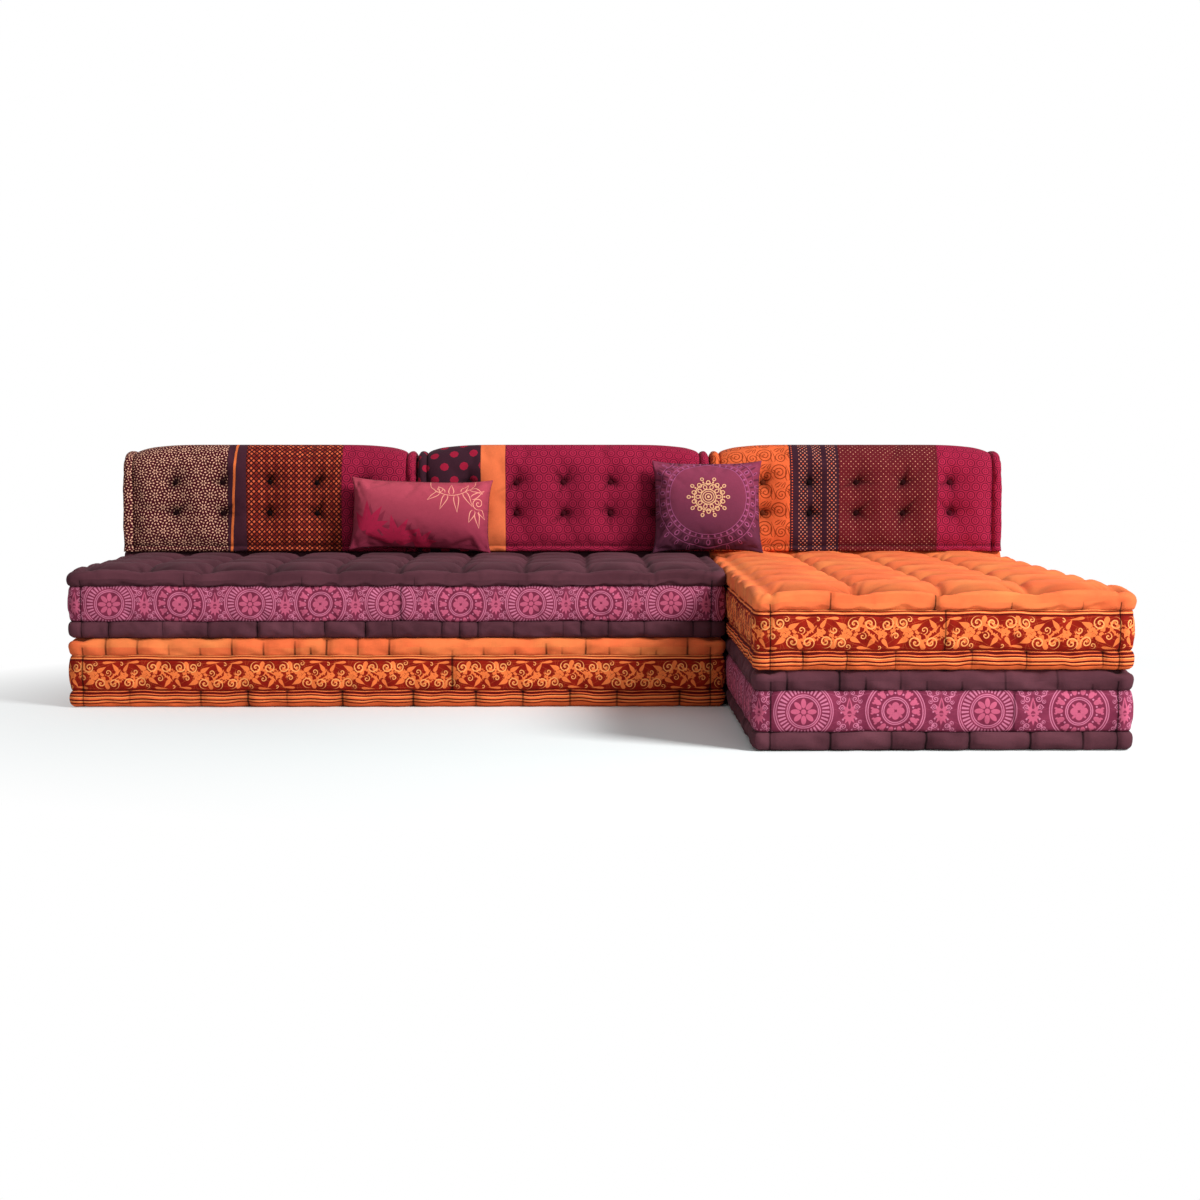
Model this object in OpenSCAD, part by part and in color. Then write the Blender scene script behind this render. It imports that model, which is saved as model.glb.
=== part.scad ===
// Floor-level sectional sofa: stacked tufted mattresses in an L, with back cushions and two pillows.
// Every mattress is a quilted top, a printed border, a base panel, a foam core and its tufting twine.
// +X runs along the long seat, +Y towards the backs, +Z up, origin on the floor at the centre.

/* [Plan] */
// Side of one square seat place
module_side = 950; // [800:10:1100]
// Front-to-back length of the chaise
chaise_length = 1800; // [1400:10:2000]
// Gap between the long seat and the chaise
side_gap = 0.3; // [0.3:0.1:5]

/* [Mattresses] */
// Thickness of one mattress
mattress_thick = 200; // [170:5:240]
// Height of the rolled edge along the top and the bottom
roll_high = 48; // [36:1:60]
// Width of the rolled edge seen from above, and the radius of the corners in plan
roll_wide = 44; // [36:1:60]
// How far the seam beside a roll lies behind the roll
seam_in = 12; // [6:1:16]
// How far the middle of the printed border lies behind the rolls
border_in = 5; // [2:1:10]
// How far a gathered tuck draws a roll in
tuck_in = 5; // [0:1:8]
// Puffs along the long seat
seat_columns = 10; // [4:1:12]
// Puffs across the long seat
seat_rows = 5; // [3:1:6]
// Puffs across the chaise
chaise_columns = 4; // [3:1:5]
// Puffs along the chaise
chaise_rows = 8; // [4:1:9]
// Height of a puff over the roll
puff_crown = 10; // [0:1:20]
// Depth of the valley between two puffs under the roll
valley_dip = 10; // [0:1:14]
// Depth of a tuft under the roll
tuft_dip = 24; // [10:1:28]

/* [Inside] */
// Wadding and cloth over the foam at the sides of a mattress
side_wadding = 34; // [31:1:45]
// Wadding and cloth over the foam on top of a mattress
top_wadding = 38; // [32:1:46]
// Wadding and cloth under the foam of a mattress
base_wadding = 20; // [10:1:30]
// Thickness of the tufting twine
twine_d = 4; // [2:0.5:6]
// Wadding and cloth over the foam of a back cushion
back_wadding = 32; // [24:1:40]

/* [Back cushions] */
// Height of a back cushion
back_high = 340; // [300:5:400]
// Thickness of a back cushion at its foot
back_thick = 210; // [170:5:240]
// Tuft columns on a back cushion
back_columns = 5; // [3:1:7]
// Distance between two tuft columns
back_pitch = 152; // [100:1:160]
// Height of the lower row of tufts
low_row_high = 125; // [100:1:150]
// Height of the upper row of tufts
top_row_high = 224; // [190:1:240]
// Width of the roll at each end of a back cushion
end_roll = 32; // [20:1:40]
// Height of the roll along the foot of a back cushion's front
foot_roll_high = 20; // [12:1:30]
// How far the seam over that roll lies behind the front
foot_seam_in = 5; // [2:1:8]
// How far a tuft draws the cushion in
tuft_sink = 18; // [10:1:24]
// Diameter of a covered button
button_d = 22; // [16:1:28]
// Thickness of a covered button
button_thick = 7; // [5:0.5:9]

/* [Pillows] */
// Width of the lumbar pillow
lumbar_wide = 455; // [380:5:520]
// Height of the lumbar pillow
lumbar_high = 240; // [200:5:300]
// Width of the square pillow
square_wide = 355; // [300:5:450]
// Height of the square pillow
square_high = 305; // [260:5:450]
// Thickness of a pillow
pillow_thick = 125; // [90:5:150]
// How far the sides of a pillow draw in between its corners
pillow_draw = 10; // [0:1:16]
// Lean of a pillow towards the backs, in degrees
pillow_lean = 14; // [5:1:25]
// Turn of the lumbar pillow in its own plane, in degrees
lumbar_turn = 1.5; // [0:0.5:4]
// Cloth and wadding over the filling of a pillow
pillow_wadding = 9; // [6:1:14]
// How far the lumbar pillow stands to the right of the joint behind it
lumbar_shift = 20; // [-40:1:40]
// How far the square pillow stands to the right of the joint behind it
square_shift = -14; // [-40:1:40]

/* [Hidden] */
// Room between two pieces that rest on each other
rest_gap = 0.3;
// Room round a filling inside its cover
fill_gap = 0.3;
// Room between a pillow and the cushion it leans at
lean_gap = 0.3;
// Room round a button in its dimple
button_gap = 1;
// Depth that a button's dimple is cut below the tuft
dimple_cut = 2;
// How far every cut runs past what it cuts
overrun = 5;
// Depth that a foot is cut flat
foot_cut = 0.5;
// Turn between two tucks, which spreads their depths evenly
tuck_turn = 137;
// Share of its depth by which one tuck differs from another
tuck_spread_share = 0.5;
$fn = 32;

PLUM = [0.36, 0.20, 0.24];
ROSE = [0.68, 0.31, 0.44];
ORANGE = [0.96, 0.51, 0.29];
RUST = [0.78, 0.28, 0.14];
CRIMSON = [0.62, 0.14, 0.26];
MAROON = [0.34, 0.13, 0.16];
FOAM = [0.93, 0.88, 0.72];
TWINE = [0.82, 0.76, 0.64];

long_length = 2 * module_side;
total_length = long_length + side_gap + module_side;
long_x = (long_length - total_length) / 2;
chaise_x = (total_length - module_side) / 2;
back_y = chaise_length / 2;
long_y = back_y - module_side / 2;
upper_z = mattress_thick + rest_gap;
seat_z = upper_z + mattress_thick + puff_crown + rest_gap;
back_length = module_side - side_gap;
border_high = mattress_thick - 2 * roll_high;
LONG = [long_length, module_side, seat_columns, seat_rows];
CHAISE = [module_side, chaise_length, chaise_columns, chaise_rows];

// Closed solids from rings of points

// Flat list of the points of every ring
function joined(rings) = [for (ring = rings) each ring];

// Middle of a ring
function middle(ring) = [for (axis = [0 : 2]) vsum([for (p = ring) p[axis]]) / len(ring)];
function vsum(values, k = 0) = k == len(values) ? 0 : values[k] + vsum(values, k + 1);

// Two triangles for each step along the wall between ring r and the next
function wall_faces(n, r) = [
    for (k = [0 : n - 1])
        let (next = (k + 1) % n)
        each [
            [r * n + k, r * n + next, (r + 1) * n + next],
            [r * n + k, (r + 1) * n + next, (r + 1) * n + k]
        ]
];

// A lid of triangles over the first ring, and one under the last
function lid_faces(n, centre) = [for (k = [0 : n - 1]) [centre, (k + 1) % n, k]];
function foot_faces(n, first, centre) = [for (k = [0 : n - 1]) [first + k, first + (k + 1) % n, centre]];

// Solid through rings that run counter-clockwise seen from before the first one
module ring_solid(rings) {
    n = len(rings[0]);
    count = len(rings);
    points = concat(joined(rings), [middle(rings[0]), middle(rings[count - 1])]);
    walls = [for (r = [0 : count - 2]) each wall_faces(n, r)];
    faces = concat(walls, lid_faces(n, count * n), foot_faces(n, (count - 1) * n, count * n + 1));
    polyhedron(points, faces);
}

// Mattress outline and quilting

// Places of the quilting lines along one side: the roll's edge and crest, then two per puff
function line_places(side, puffs) = concat(
    [-side / 2, -side / 2 + roll_wide / 2],
    [for (k = [0 : 2 * puffs]) -side / 2 + roll_wide + k * (side - 2 * roll_wide) / (2 * puffs)],
    [side / 2 - roll_wide / 2, side / 2]
);

// How far a place reaches into the corner square of a side, or less than zero
function into_corner(place, side) = abs(place) - (side / 2 - roll_wide);

// Bends the square corner of the plan round
function rounded(x, y, size) =
    let (
        u = into_corner(x, size[0]),
        v = into_corner(y, size[1]),
        reach = max(u, v),
        angle = v <= u ? 45 * v / u : 90 - 45 * u / v
    )
    u > 0 && v > 0
        ? [sign(x) * (size[0] / 2 - roll_wide + reach * cos(angle)),
           sign(y) * (size[1] / 2 - roll_wide + reach * sin(angle))]
        : [x, y];

// Direction straight out of the outline at one of its points
function outward(p, size) =
    let (
        u = max(into_corner(p[0], size[0]), 0),
        v = max(into_corner(p[1], size[1]), 0),
        reach = norm([u, v])
    )
    [sign(p[0]) * u / reach, sign(p[1]) * v / reach];

// Line numbers [i, j] of the outline's points, counter-clockwise seen from above
function outline_steps(columns, rows) =
    let (a = 2 * columns + 4, b = 2 * rows + 4)
    concat(
        [for (i = [0 : a - 1]) [i, 0]],
        [for (j = [0 : b - 1]) [a, j]],
        [for (i = [a : -1 : 1]) [i, b]],
        [for (j = [b : -1 : 1]) [0, j]]
    );

// Depth of the tuck at an outline point: one at each line of tufts, each a little different
function tuck(step, k, size) =
    let (
        a = 2 * size[2] + 4,
        b = 2 * size[3] + 4,
        along_x = step[1] == 0 || step[1] == b,
        place = along_x ? step[0] : step[1],
        last = along_x ? a : b
    )
    place % 2 == 0 && place > 1 && place < last - 1
        ? tuck_in * (1 + tuck_spread_share * sin(k * tuck_turn))
        : 0;

// One ring of a mattress, drawn in by inset and by its tucks, at height z
function outline_ring(size, inset, tuck_share, z) =
    let (
        xs = line_places(size[0], size[2]),
        ys = line_places(size[1], size[3]),
        steps = outline_steps(size[2], size[3])
    )
    [
        for (k = [0 : len(steps) - 1])
            let (
                p = rounded(xs[steps[k][0]], ys[steps[k][1]], size),
                q = p - (inset + tuck_share * tuck(steps[k], k, size)) * outward(p, size)
            )
            [q[0], q[1], z]
    ];

// Height of the quilting at line i, j under or over the roll's crest
function quilt_height(i, j, size) =
    let (
        a = 2 * size[2] + 4,
        b = 2 * size[3] + 4,
        edge = min(i, j, a - i, b - j)
    )
    edge == 0 ? -roll_high / 2
    : edge == 1 ? 0
    : i % 2 == 0 && j % 2 == 0 ? -tuft_dip
    : i % 2 == 1 && j % 2 == 1 ? puff_crown
    : -valley_dip;

// Number in the ring of the outline point at line i, j
function ring_place(i, j, a, b) =
    j == 0 && i < a ? i
    : i == a && j < b ? a + j
    : j == b && i > 0 ? a + b + (a - i)
    : 2 * a + b + (b - j);

// Quilted top with its rolled edge, from the seam up, in its own frame on the mattress's foot
module quilted_top(size) {
    xs = line_places(size[0], size[2]);
    ys = line_places(size[1], size[3]);
    a = len(xs) - 1;
    b = len(ys) - 1;
    edge = outline_ring(size, 0, 1, mattress_thick - roll_high / 2);
    seam = outline_ring(size, seam_in, 1, mattress_thick - roll_high);
    grid = [
        for (i = [0 : a])
            for (j = [0 : b])
                let (
                    outer = i == 0 || j == 0 || i == a || j == b,
                    p = rounded(xs[i], ys[j], size)
                )
                outer ? edge[ring_place(i, j, a, b)] : [p[0], p[1], mattress_thick + quilt_height(i, j, size)]
    ];
    steps = outline_steps(size[2], size[3]);
    n = len(steps);
    first = len(grid);
    points = concat(grid, seam, [[0, 0, mattress_thick - roll_high]]);
    quilt = [
        for (i = [0 : a - 1])
            for (j = [0 : b - 1])
                let (
                    p = i * (b + 1) + j,
                    q = p + b + 1
                )
                each (i + j) % 2 == 0
                    ? [[p, p + 1, q + 1], [p, q + 1, q]]
                    : [[p, p + 1, q], [p + 1, q + 1, q]]
    ];
    skirt = [
        for (k = [0 : n - 1])
            let (
                next = (k + 1) % n,
                upper = steps[k][0] * (b + 1) + steps[k][1],
                upper_next = steps[next][0] * (b + 1) + steps[next][1]
            )
            each [[upper, upper_next, first + next], [upper, first + next, first + k]]
    ];
    difference() {
        polyhedron(points, concat(quilt, skirt, foot_faces(n, first, first + n)));
        core_room(size, mattress_thick - roll_high - overrun, mattress_thick - top_wadding);
    }
}

// Plain top panel of a mattress that carries another, flat between its rolls
module flat_top(size) {
    difference() {
        ring_solid([
            outline_ring(size, roll_wide / 2, 0, mattress_thick),
            outline_ring(size, 0, 1, mattress_thick - roll_high / 2),
            outline_ring(size, seam_in, 1, mattress_thick - roll_high)
        ]);
        core_room(size, mattress_thick - roll_high - overrun, mattress_thick - top_wadding);
    }
}

// Printed border between the two rolls, bowed out between its seams
module border_strip(size) {
    difference() {
        ring_solid([
            outline_ring(size, seam_in, 1, roll_high + border_high),
            outline_ring(size, border_in, 1, roll_high + border_high / 2),
            outline_ring(size, seam_in, 1, roll_high)
        ]);
        core_room(size, roll_high - overrun, roll_high + border_high + overrun);
    }
}

// Base panel with the lower roll, cut flat where it stands
module base_panel(size) {
    difference() {
        ring_solid([
            outline_ring(size, seam_in, 1, roll_high),
            outline_ring(size, 0, 1, roll_high / 2),
            outline_ring(size, roll_wide / 2, 0, -foot_cut)
        ]);
        core_room(size, base_wadding, roll_high + overrun);
        translate([-size[0], -size[1], -overrun])
            cube([2 * size[0], 2 * size[1], overrun]);
    }
}

// Room for the foam core between two heights
module core_room(size, low, high) {
    long = size[0] - 2 * side_wadding;
    wide = size[1] - 2 * side_wadding;
    translate([-long / 2, -wide / 2, low])
        cube([long, wide, high - low]);
}

// One upright at every tuft inside the outline
module at_tufts(size) {
    pitch_x = (size[0] - 2 * roll_wide) / size[2];
    pitch_y = (size[1] - 2 * roll_wide) / size[3];
    for (i = [1 : size[2] - 1])
        for (j = [1 : size[3] - 1])
            translate([(i - size[2] / 2) * pitch_x, (j - size[3] / 2) * pitch_y, base_wadding])
                children();
}

// Foam slab, drilled where the twine passes
module foam_core(size) {
    high = mattress_thick - top_wadding - base_wadding;
    difference() {
        translate([side_wadding + fill_gap - size[0] / 2, side_wadding + fill_gap - size[1] / 2,
                   base_wadding + fill_gap])
            cube([size[0] - 2 * (side_wadding + fill_gap), size[1] - 2 * (side_wadding + fill_gap),
                  high - 2 * fill_gap]);
        at_tufts(size)
            translate([0, 0, -overrun])
                cylinder(d = twine_d + 2 * fill_gap, h = high + 2 * overrun);
    }
}

// Twine that ties the top panel down to the base panel at every tuft
module tufting_twine(size) {
    at_tufts(size)
        cylinder(d = twine_d, h = mattress_thick - top_wadding - base_wadding);
}

module on_long_base() {
    translate([long_x, long_y, 0])
        children();
}

module on_long_seat() {
    translate([long_x, long_y, upper_z])
        children();
}

module on_chaise_base() {
    translate([chaise_x, 0, 0])
        children();
}

module on_chaise_seat() {
    translate([chaise_x, 0, upper_z])
        children();
}

// Back cushions, in a frame whose origin is the foot of the flat back, with +Y to the rear

// Steps of the arch over the top, and how boxy the arch is
arch_steps = 9;
arch_power = 0.62;

// Superellipse over the top, from the flat back at 0 degrees to the front at 180
function arch_point(angle) = [
    back_thick * (1 - sign(cos(angle)) * pow(abs(cos(angle)), arch_power)) / 2,
    top_row_high + (back_high - top_row_high) * pow(sin(angle), arch_power)
];

// Points of the section as [forward, up]: up the back, over the top and down the front to the foot
section = concat(
    [[0, 0], [0, low_row_high]],
    [for (k = [0 : arch_steps]) arch_point(180 * k / arch_steps)],
    [[back_thick, (low_row_high + top_row_high) / 2],
     [back_thick, low_row_high],
     [back_thick, low_row_high / 2],
     [back_thick - foot_seam_in, foot_roll_high],
     [back_thick, foot_roll_high / 2],
     [back_thick - foot_seam_in, 0]]
);

// Stations along the cushion as [place, inset, tufted]: the end rolls, then every half pitch
half_back = back_length / 2;
back_stations = concat(
    [[half_back, seam_in, false],
     [half_back - end_roll / 2, 0, false],
     [half_back - end_roll, seam_in, false]],
    [for (k = [back_columns : -1 : -back_columns]) [k * back_pitch / 2, 0, (k + back_columns) % 2 == 1]],
    [[end_roll - half_back, seam_in, false],
     [end_roll / 2 - half_back, 0, false],
     [-half_back, seam_in, false]]
);

// One section ring, drawn in at the end rolls and sunk at the tufts of the front
function back_ring(station) = [
    for (p = section)
        let (
            shrink = 1 - 2 * station[1] / back_thick,
            forward = back_thick / 2 + (p[0] - back_thick / 2) * shrink,
            up = p[1] * (1 - station[1] / back_high),
            row = p[0] == back_thick && (p[1] == low_row_high || p[1] == top_row_high),
            sink = row && station[2] ? tuft_sink : 0
        )
        [station[0], sink - forward, up]
];

// Exact prism of the section, drawn in by inset all round
module back_prism(inset) {
    points = [
        for (p = section)
            [-inset - p[0] * (1 - 2 * inset / back_thick), inset + p[1] * (1 - 2 * inset / back_high)]
    ];
    rotate([90, 0, 90])
        translate([0, 0, inset - half_back])
            linear_extrude(back_length - 2 * inset)
                polygon(points);
}

// Something at every tuft of a back cushion, on the plane of its flat back
module at_back_tufts() {
    for (k = [0 : back_columns - 1])
        for (up = [low_row_high, top_row_high])
            translate([(k - (back_columns - 1) / 2) * back_pitch, 0, up])
                rotate([90, 0, 0])
                    children();
}

// Seats of the buttons, as distances forward of the flat back
front_button_seat = back_thick - tuft_sink - dimple_cut;
rear_button_seat = button_thick + dimple_cut;

// Cover of a back cushion, with a dimple under every button and a flat foot
module back_cover() {
    dimple_d = button_d + 2 * button_gap;
    difference() {
        ring_solid([for (station = back_stations) back_ring(station)]);
        back_prism(back_wadding);
        at_back_tufts()
            translate([0, 0, front_button_seat])
                cylinder(d = dimple_d, h = tuft_sink + dimple_cut + overrun);
        at_back_tufts()
            translate([0, 0, -overrun])
                cylinder(d = dimple_d, h = rear_button_seat + overrun);
    }
}

// Foam of a back cushion, drilled for its twine
module back_core() {
    difference() {
        back_prism(back_wadding + fill_gap);
        at_back_tufts()
            cylinder(d = twine_d + 2 * fill_gap, h = back_thick);
    }
}

// Twine through a back cushion at every tuft, from wadding to wadding
module back_twine() {
    intersection() {
        back_prism(back_wadding);
        at_back_tufts()
            cylinder(d = twine_d, h = back_thick);
    }
}

// Covered button with a domed face, standing on its seat
module button() {
    dome_r = (pow(button_d / 2, 2) + pow(button_thick, 2)) / (2 * button_thick);
    intersection() {
        translate([0, 0, button_thick - dome_r])
            sphere(r = dome_r);
        cylinder(d = button_d, h = button_thick);
    }
}

module back_buttons() {
    at_back_tufts()
        translate([0, 0, front_button_seat + rest_gap])
            button();
    at_back_tufts()
        translate([0, 0, rear_button_seat - rest_gap])
            mirror([0, 0, 1])
                button();
}

// Places of the three cushions, side by side along the back
module on_left_place() {
    translate([long_x - module_side / 2, back_y, seat_z])
        children();
}

module on_middle_place() {
    translate([long_x + module_side / 2, back_y, seat_z])
        children();
}

module on_right_place() {
    translate([chaise_x, back_y, seat_z])
        children();
}

// Pillows, each lying face up in its own frame with its seam in the plane of the origin

// Spans of the net over a pillow's face, across and up
pillow_spans = [8, 6];
// How sharply a pillow falls away towards its seam
pillow_power = 0.8;

// Point of a pillow's face at step i, j, for a pillow of size [wide, high, thickness of one face]
function face_point(i, j, size, side) =
    let (
        across = 180 * i / pillow_spans[0] - 90,
        along = 180 * j / pillow_spans[1] - 90,
        u = sin(across),
        v = sin(along),
        wide = size[0] / 2 - pillow_draw * (1 - v * v),
        high = size[1] / 2 - pillow_draw * (1 - u * u),
        on_rim = i == 0 || j == 0 || i == pillow_spans[0] || j == pillow_spans[1],
        swell = on_rim ? 0 : pow(cos(across) * cos(along), pillow_power)
    )
    [u * wide, v * high, side * size[2] * swell];

function face_points(size, side) = [
    for (i = [0 : pillow_spans[0]])
        for (j = [0 : pillow_spans[1]])
            face_point(i, j, size, side)
];

// Triangles of a face, seen from its outer side, whose points start at the number first.
// Each diagonal runs towards a corner of the pillow, so that no triangle lies flat in the seam.
function face_faces(first, flipped) = [
    for (i = [0 : pillow_spans[0] - 1])
        for (j = [0 : pillow_spans[1] - 1])
            let (
                p = first + i * (pillow_spans[1] + 1) + j,
                q = p + pillow_spans[1] + 1,
                rising = (i < pillow_spans[0] / 2) == (j < pillow_spans[1] / 2),
                one = rising ? [p, p + 1, q + 1] : [p, p + 1, q],
                two = rising ? [p, q + 1, q] : [p + 1, q + 1, q]
            )
            each flipped ? [[one[2], one[1], one[0]], [two[2], two[1], two[0]]] : [one, two]
];

// Numbers of the seam's points, counter-clockwise seen from the front
function seam_numbers() =
    let (a = pillow_spans[0], b = pillow_spans[1], row = b + 1)
    concat(
        [for (i = [0 : a - 1]) i * row],
        [for (j = [0 : b - 1]) a * row + j],
        [for (i = [a : -1 : 1]) i * row + b],
        [for (j = [b : -1 : 1]) j]
    );

// Sizes of the room for the filling, or with a gap of the filling itself
function inner_size(size, gap) =
    let (rim = 3 * pillow_wadding + gap)
    [size[0] - 2 * rim, size[1] - 2 * rim, pillow_thick / 2 - pillow_wadding - gap];

// Panel of a pillow's cover: a crowned face, the hollow behind it and the flat seam between them
module pillow_panel(size) {
    outer = face_points([size[0], size[1], pillow_thick / 2], 1);
    inner = face_points(inner_size(size, 0), 1);
    first = len(outer);
    seam = seam_numbers();
    n = len(seam);
    flange = [
        for (k = [0 : n - 1])
            let (next = (k + 1) % n)
            each [
                [seam[k], seam[next], first + seam[next]],
                [seam[k], first + seam[next], first + seam[k]]
            ]
    ];
    polyhedron(concat(outer, inner), concat(face_faces(0, false), face_faces(first, true), flange));
}

// Filling of a pillow, crowned on both faces
module filling_shape(size) {
    inner = inner_size(size, fill_gap);
    half_count = (pillow_spans[0] + 1) * (pillow_spans[1] + 1);
    seam = seam_numbers();
    rear = face_faces(half_count, true);
    shared = [
        for (face = rear)
            [for (number = face) len(search(number - half_count, seam)) > 0 ? number - half_count : number]
    ];
    polyhedron(
        concat(face_points(inner, 1), face_points(inner, -1)),
        concat(face_faces(0, false), shared)
    );
}

// Point of a pillow after it is stood up, turned in its own plane and leant back
function leant(p, turn) =
    let (
        x = p[0] * cos(turn) + p[1] * sin(turn),
        up = p[1] * cos(turn) - p[0] * sin(turn)
    )
    [x, up * sin(pillow_lean) - p[2] * cos(pillow_lean), up * cos(pillow_lean) + p[2] * sin(pillow_lean)];

function leant_points(size, turn) = [
    for (p = concat(face_points(size, 1), face_points(size, -1))) leant(p, turn)
];

// Stands a pillow on the seat and leans it at the backs, clear of them all the way up
module leaning(x, wide, high, turn) {
    points = leant_points([wide, high, pillow_thick / 2], turn);
    lowest = min([for (p = points) p[2]]);
    rearmost = max([for (p = points) p[1]]);
    translate([x, back_y - back_thick - lean_gap - rearmost, seat_z - lowest])
        rotate([-pillow_lean, 0, 0])
            rotate([0, turn, 0])
                rotate([90, 0, 0])
                    children();
}

// The lumbar pillow stands by the joint of the first two backs, the square one by the next joint
lumbar_x = long_x + lumbar_shift;
square_x = long_x + long_length / 2 + square_shift;
LUMBAR = [lumbar_wide, lumbar_high];
SQUARE = [square_wide, square_high];

module lumbar_place() {
    leaning(lumbar_x, lumbar_wide, lumbar_high, lumbar_turn)
        children();
}

module square_place() {
    leaning(square_x, square_wide, square_high, 0)
        children();
}

// Pieces

module long_base_bottom() {
    color(ORANGE)
        on_long_base()
            base_panel(LONG);
}

module long_base_border() {
    color(RUST)
        on_long_base()
            border_strip(LONG);
}

module long_base_top() {
    color(ORANGE)
        on_long_base()
            flat_top(LONG);
}

module long_base_core() {
    color(FOAM)
        on_long_base()
            foam_core(LONG);
}

module long_base_twine() {
    color(TWINE)
        on_long_base()
            tufting_twine(LONG);
}

module long_seat_bottom() {
    color(PLUM)
        on_long_seat()
            base_panel(LONG);
}

module long_seat_border() {
    color(ROSE)
        on_long_seat()
            border_strip(LONG);
}

module long_seat_top() {
    color(PLUM)
        on_long_seat()
            quilted_top(LONG);
}

module long_seat_core() {
    color(FOAM)
        on_long_seat()
            foam_core(LONG);
}

module long_seat_twine() {
    color(TWINE)
        on_long_seat()
            tufting_twine(LONG);
}

module chaise_base_bottom() {
    color(PLUM)
        on_chaise_base()
            base_panel(CHAISE);
}

module chaise_base_border() {
    color(ROSE)
        on_chaise_base()
            border_strip(CHAISE);
}

module chaise_base_top() {
    color(PLUM)
        on_chaise_base()
            flat_top(CHAISE);
}

module chaise_base_core() {
    color(FOAM)
        on_chaise_base()
            foam_core(CHAISE);
}

module chaise_base_twine() {
    color(TWINE)
        on_chaise_base()
            tufting_twine(CHAISE);
}

module chaise_seat_bottom() {
    color(ORANGE)
        on_chaise_seat()
            base_panel(CHAISE);
}

module chaise_seat_border() {
    color(RUST)
        on_chaise_seat()
            border_strip(CHAISE);
}

module chaise_seat_top() {
    color(ORANGE)
        on_chaise_seat()
            quilted_top(CHAISE);
}

module chaise_seat_core() {
    color(FOAM)
        on_chaise_seat()
            foam_core(CHAISE);
}

module chaise_seat_twine() {
    color(TWINE)
        on_chaise_seat()
            tufting_twine(CHAISE);
}

module back_left_cover() {
    color(CRIMSON)
        on_left_place()
            back_cover();
}

module back_left_core() {
    color(FOAM)
        on_left_place()
            back_core();
}

module back_left_twine() {
    color(TWINE)
        on_left_place()
            back_twine();
}

module back_left_buttons() {
    color(MAROON)
        on_left_place()
            back_buttons();
}

module back_middle_cover() {
    color(CRIMSON)
        on_middle_place()
            back_cover();
}

module back_middle_core() {
    color(FOAM)
        on_middle_place()
            back_core();
}

module back_middle_twine() {
    color(TWINE)
        on_middle_place()
            back_twine();
}

module back_middle_buttons() {
    color(MAROON)
        on_middle_place()
            back_buttons();
}

module back_right_cover() {
    color(CRIMSON)
        on_right_place()
            back_cover();
}

module back_right_core() {
    color(FOAM)
        on_right_place()
            back_core();
}

module back_right_twine() {
    color(TWINE)
        on_right_place()
            back_twine();
}

module back_right_buttons() {
    color(MAROON)
        on_right_place()
            back_buttons();
}

module lumbar_pillow_front() {
    color(ROSE)
        lumbar_place()
            pillow_panel(LUMBAR);
}

module lumbar_pillow_rear() {
    color(ROSE)
        lumbar_place()
            mirror([0, 0, 1])
                pillow_panel(LUMBAR);
}

module lumbar_pillow_filling() {
    color(FOAM)
        lumbar_place()
            filling_shape(LUMBAR);
}

module square_pillow_front() {
    color(PLUM)
        square_place()
            pillow_panel(SQUARE);
}

module square_pillow_rear() {
    color(PLUM)
        square_place()
            mirror([0, 0, 1])
                pillow_panel(SQUARE);
}

module square_pillow_filling() {
    color(FOAM)
        square_place()
            filling_shape(SQUARE);
}

long_base_bottom();
long_base_border();
long_base_top();
long_base_core();
long_base_twine();
long_seat_bottom();
long_seat_border();
long_seat_top();
long_seat_core();
long_seat_twine();
chaise_base_bottom();
chaise_base_border();
chaise_base_top();
chaise_base_core();
chaise_base_twine();
chaise_seat_bottom();
chaise_seat_border();
chaise_seat_top();
chaise_seat_core();
chaise_seat_twine();
back_left_cover();
back_left_core();
back_left_twine();
back_left_buttons();
back_middle_cover();
back_middle_core();
back_middle_twine();
back_middle_buttons();
back_right_cover();
back_right_core();
back_right_twine();
back_right_buttons();
lumbar_pillow_front();
lumbar_pillow_rear();
lumbar_pillow_filling();
square_pillow_front();
square_pillow_rear();
square_pillow_filling();
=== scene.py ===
"""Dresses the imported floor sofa: quilted mattresses, tufted backs, pillows, prints, floor and lamps."""
import logging
import math
from abc import ABC, abstractmethod
from dataclasses import dataclass, field
from enum import Enum
from functools import reduce
from typing import Any, Sequence

import bmesh
import bpy
import numpy as np
from mathutils import Matrix, Vector


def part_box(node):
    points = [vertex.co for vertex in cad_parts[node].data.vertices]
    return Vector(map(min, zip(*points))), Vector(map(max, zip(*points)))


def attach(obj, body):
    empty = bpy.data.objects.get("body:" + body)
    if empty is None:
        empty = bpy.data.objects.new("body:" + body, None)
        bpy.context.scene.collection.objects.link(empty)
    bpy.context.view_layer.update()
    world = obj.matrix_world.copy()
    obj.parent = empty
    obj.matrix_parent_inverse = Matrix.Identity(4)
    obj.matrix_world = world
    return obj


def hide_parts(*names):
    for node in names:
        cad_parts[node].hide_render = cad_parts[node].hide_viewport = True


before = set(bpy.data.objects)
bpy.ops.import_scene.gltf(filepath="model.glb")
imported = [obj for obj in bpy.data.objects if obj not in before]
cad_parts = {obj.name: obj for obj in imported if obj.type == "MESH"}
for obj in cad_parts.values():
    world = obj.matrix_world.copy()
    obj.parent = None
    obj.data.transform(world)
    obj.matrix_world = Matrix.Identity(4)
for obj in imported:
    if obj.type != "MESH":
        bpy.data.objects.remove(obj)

LOG = logging.getLogger("sofa")
MM = 0.001
TINY = 1e-9
EDGE = 0.9 * MM
CLOTH_MAP = "Cloth"
# The pinch map draws the cloth in at tucks, and also carries painted shade, and a painted highlight where it
# is below 0.
PINCH_AND_SHADE_MAP = "pinch"
FOLD_MAP = "fold"
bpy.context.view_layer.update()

Array = np.ndarray
Colour = tuple[float, float, float]
Oval = tuple[float, float, float]
Rows = tuple[tuple[float, ...], ...]
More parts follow.
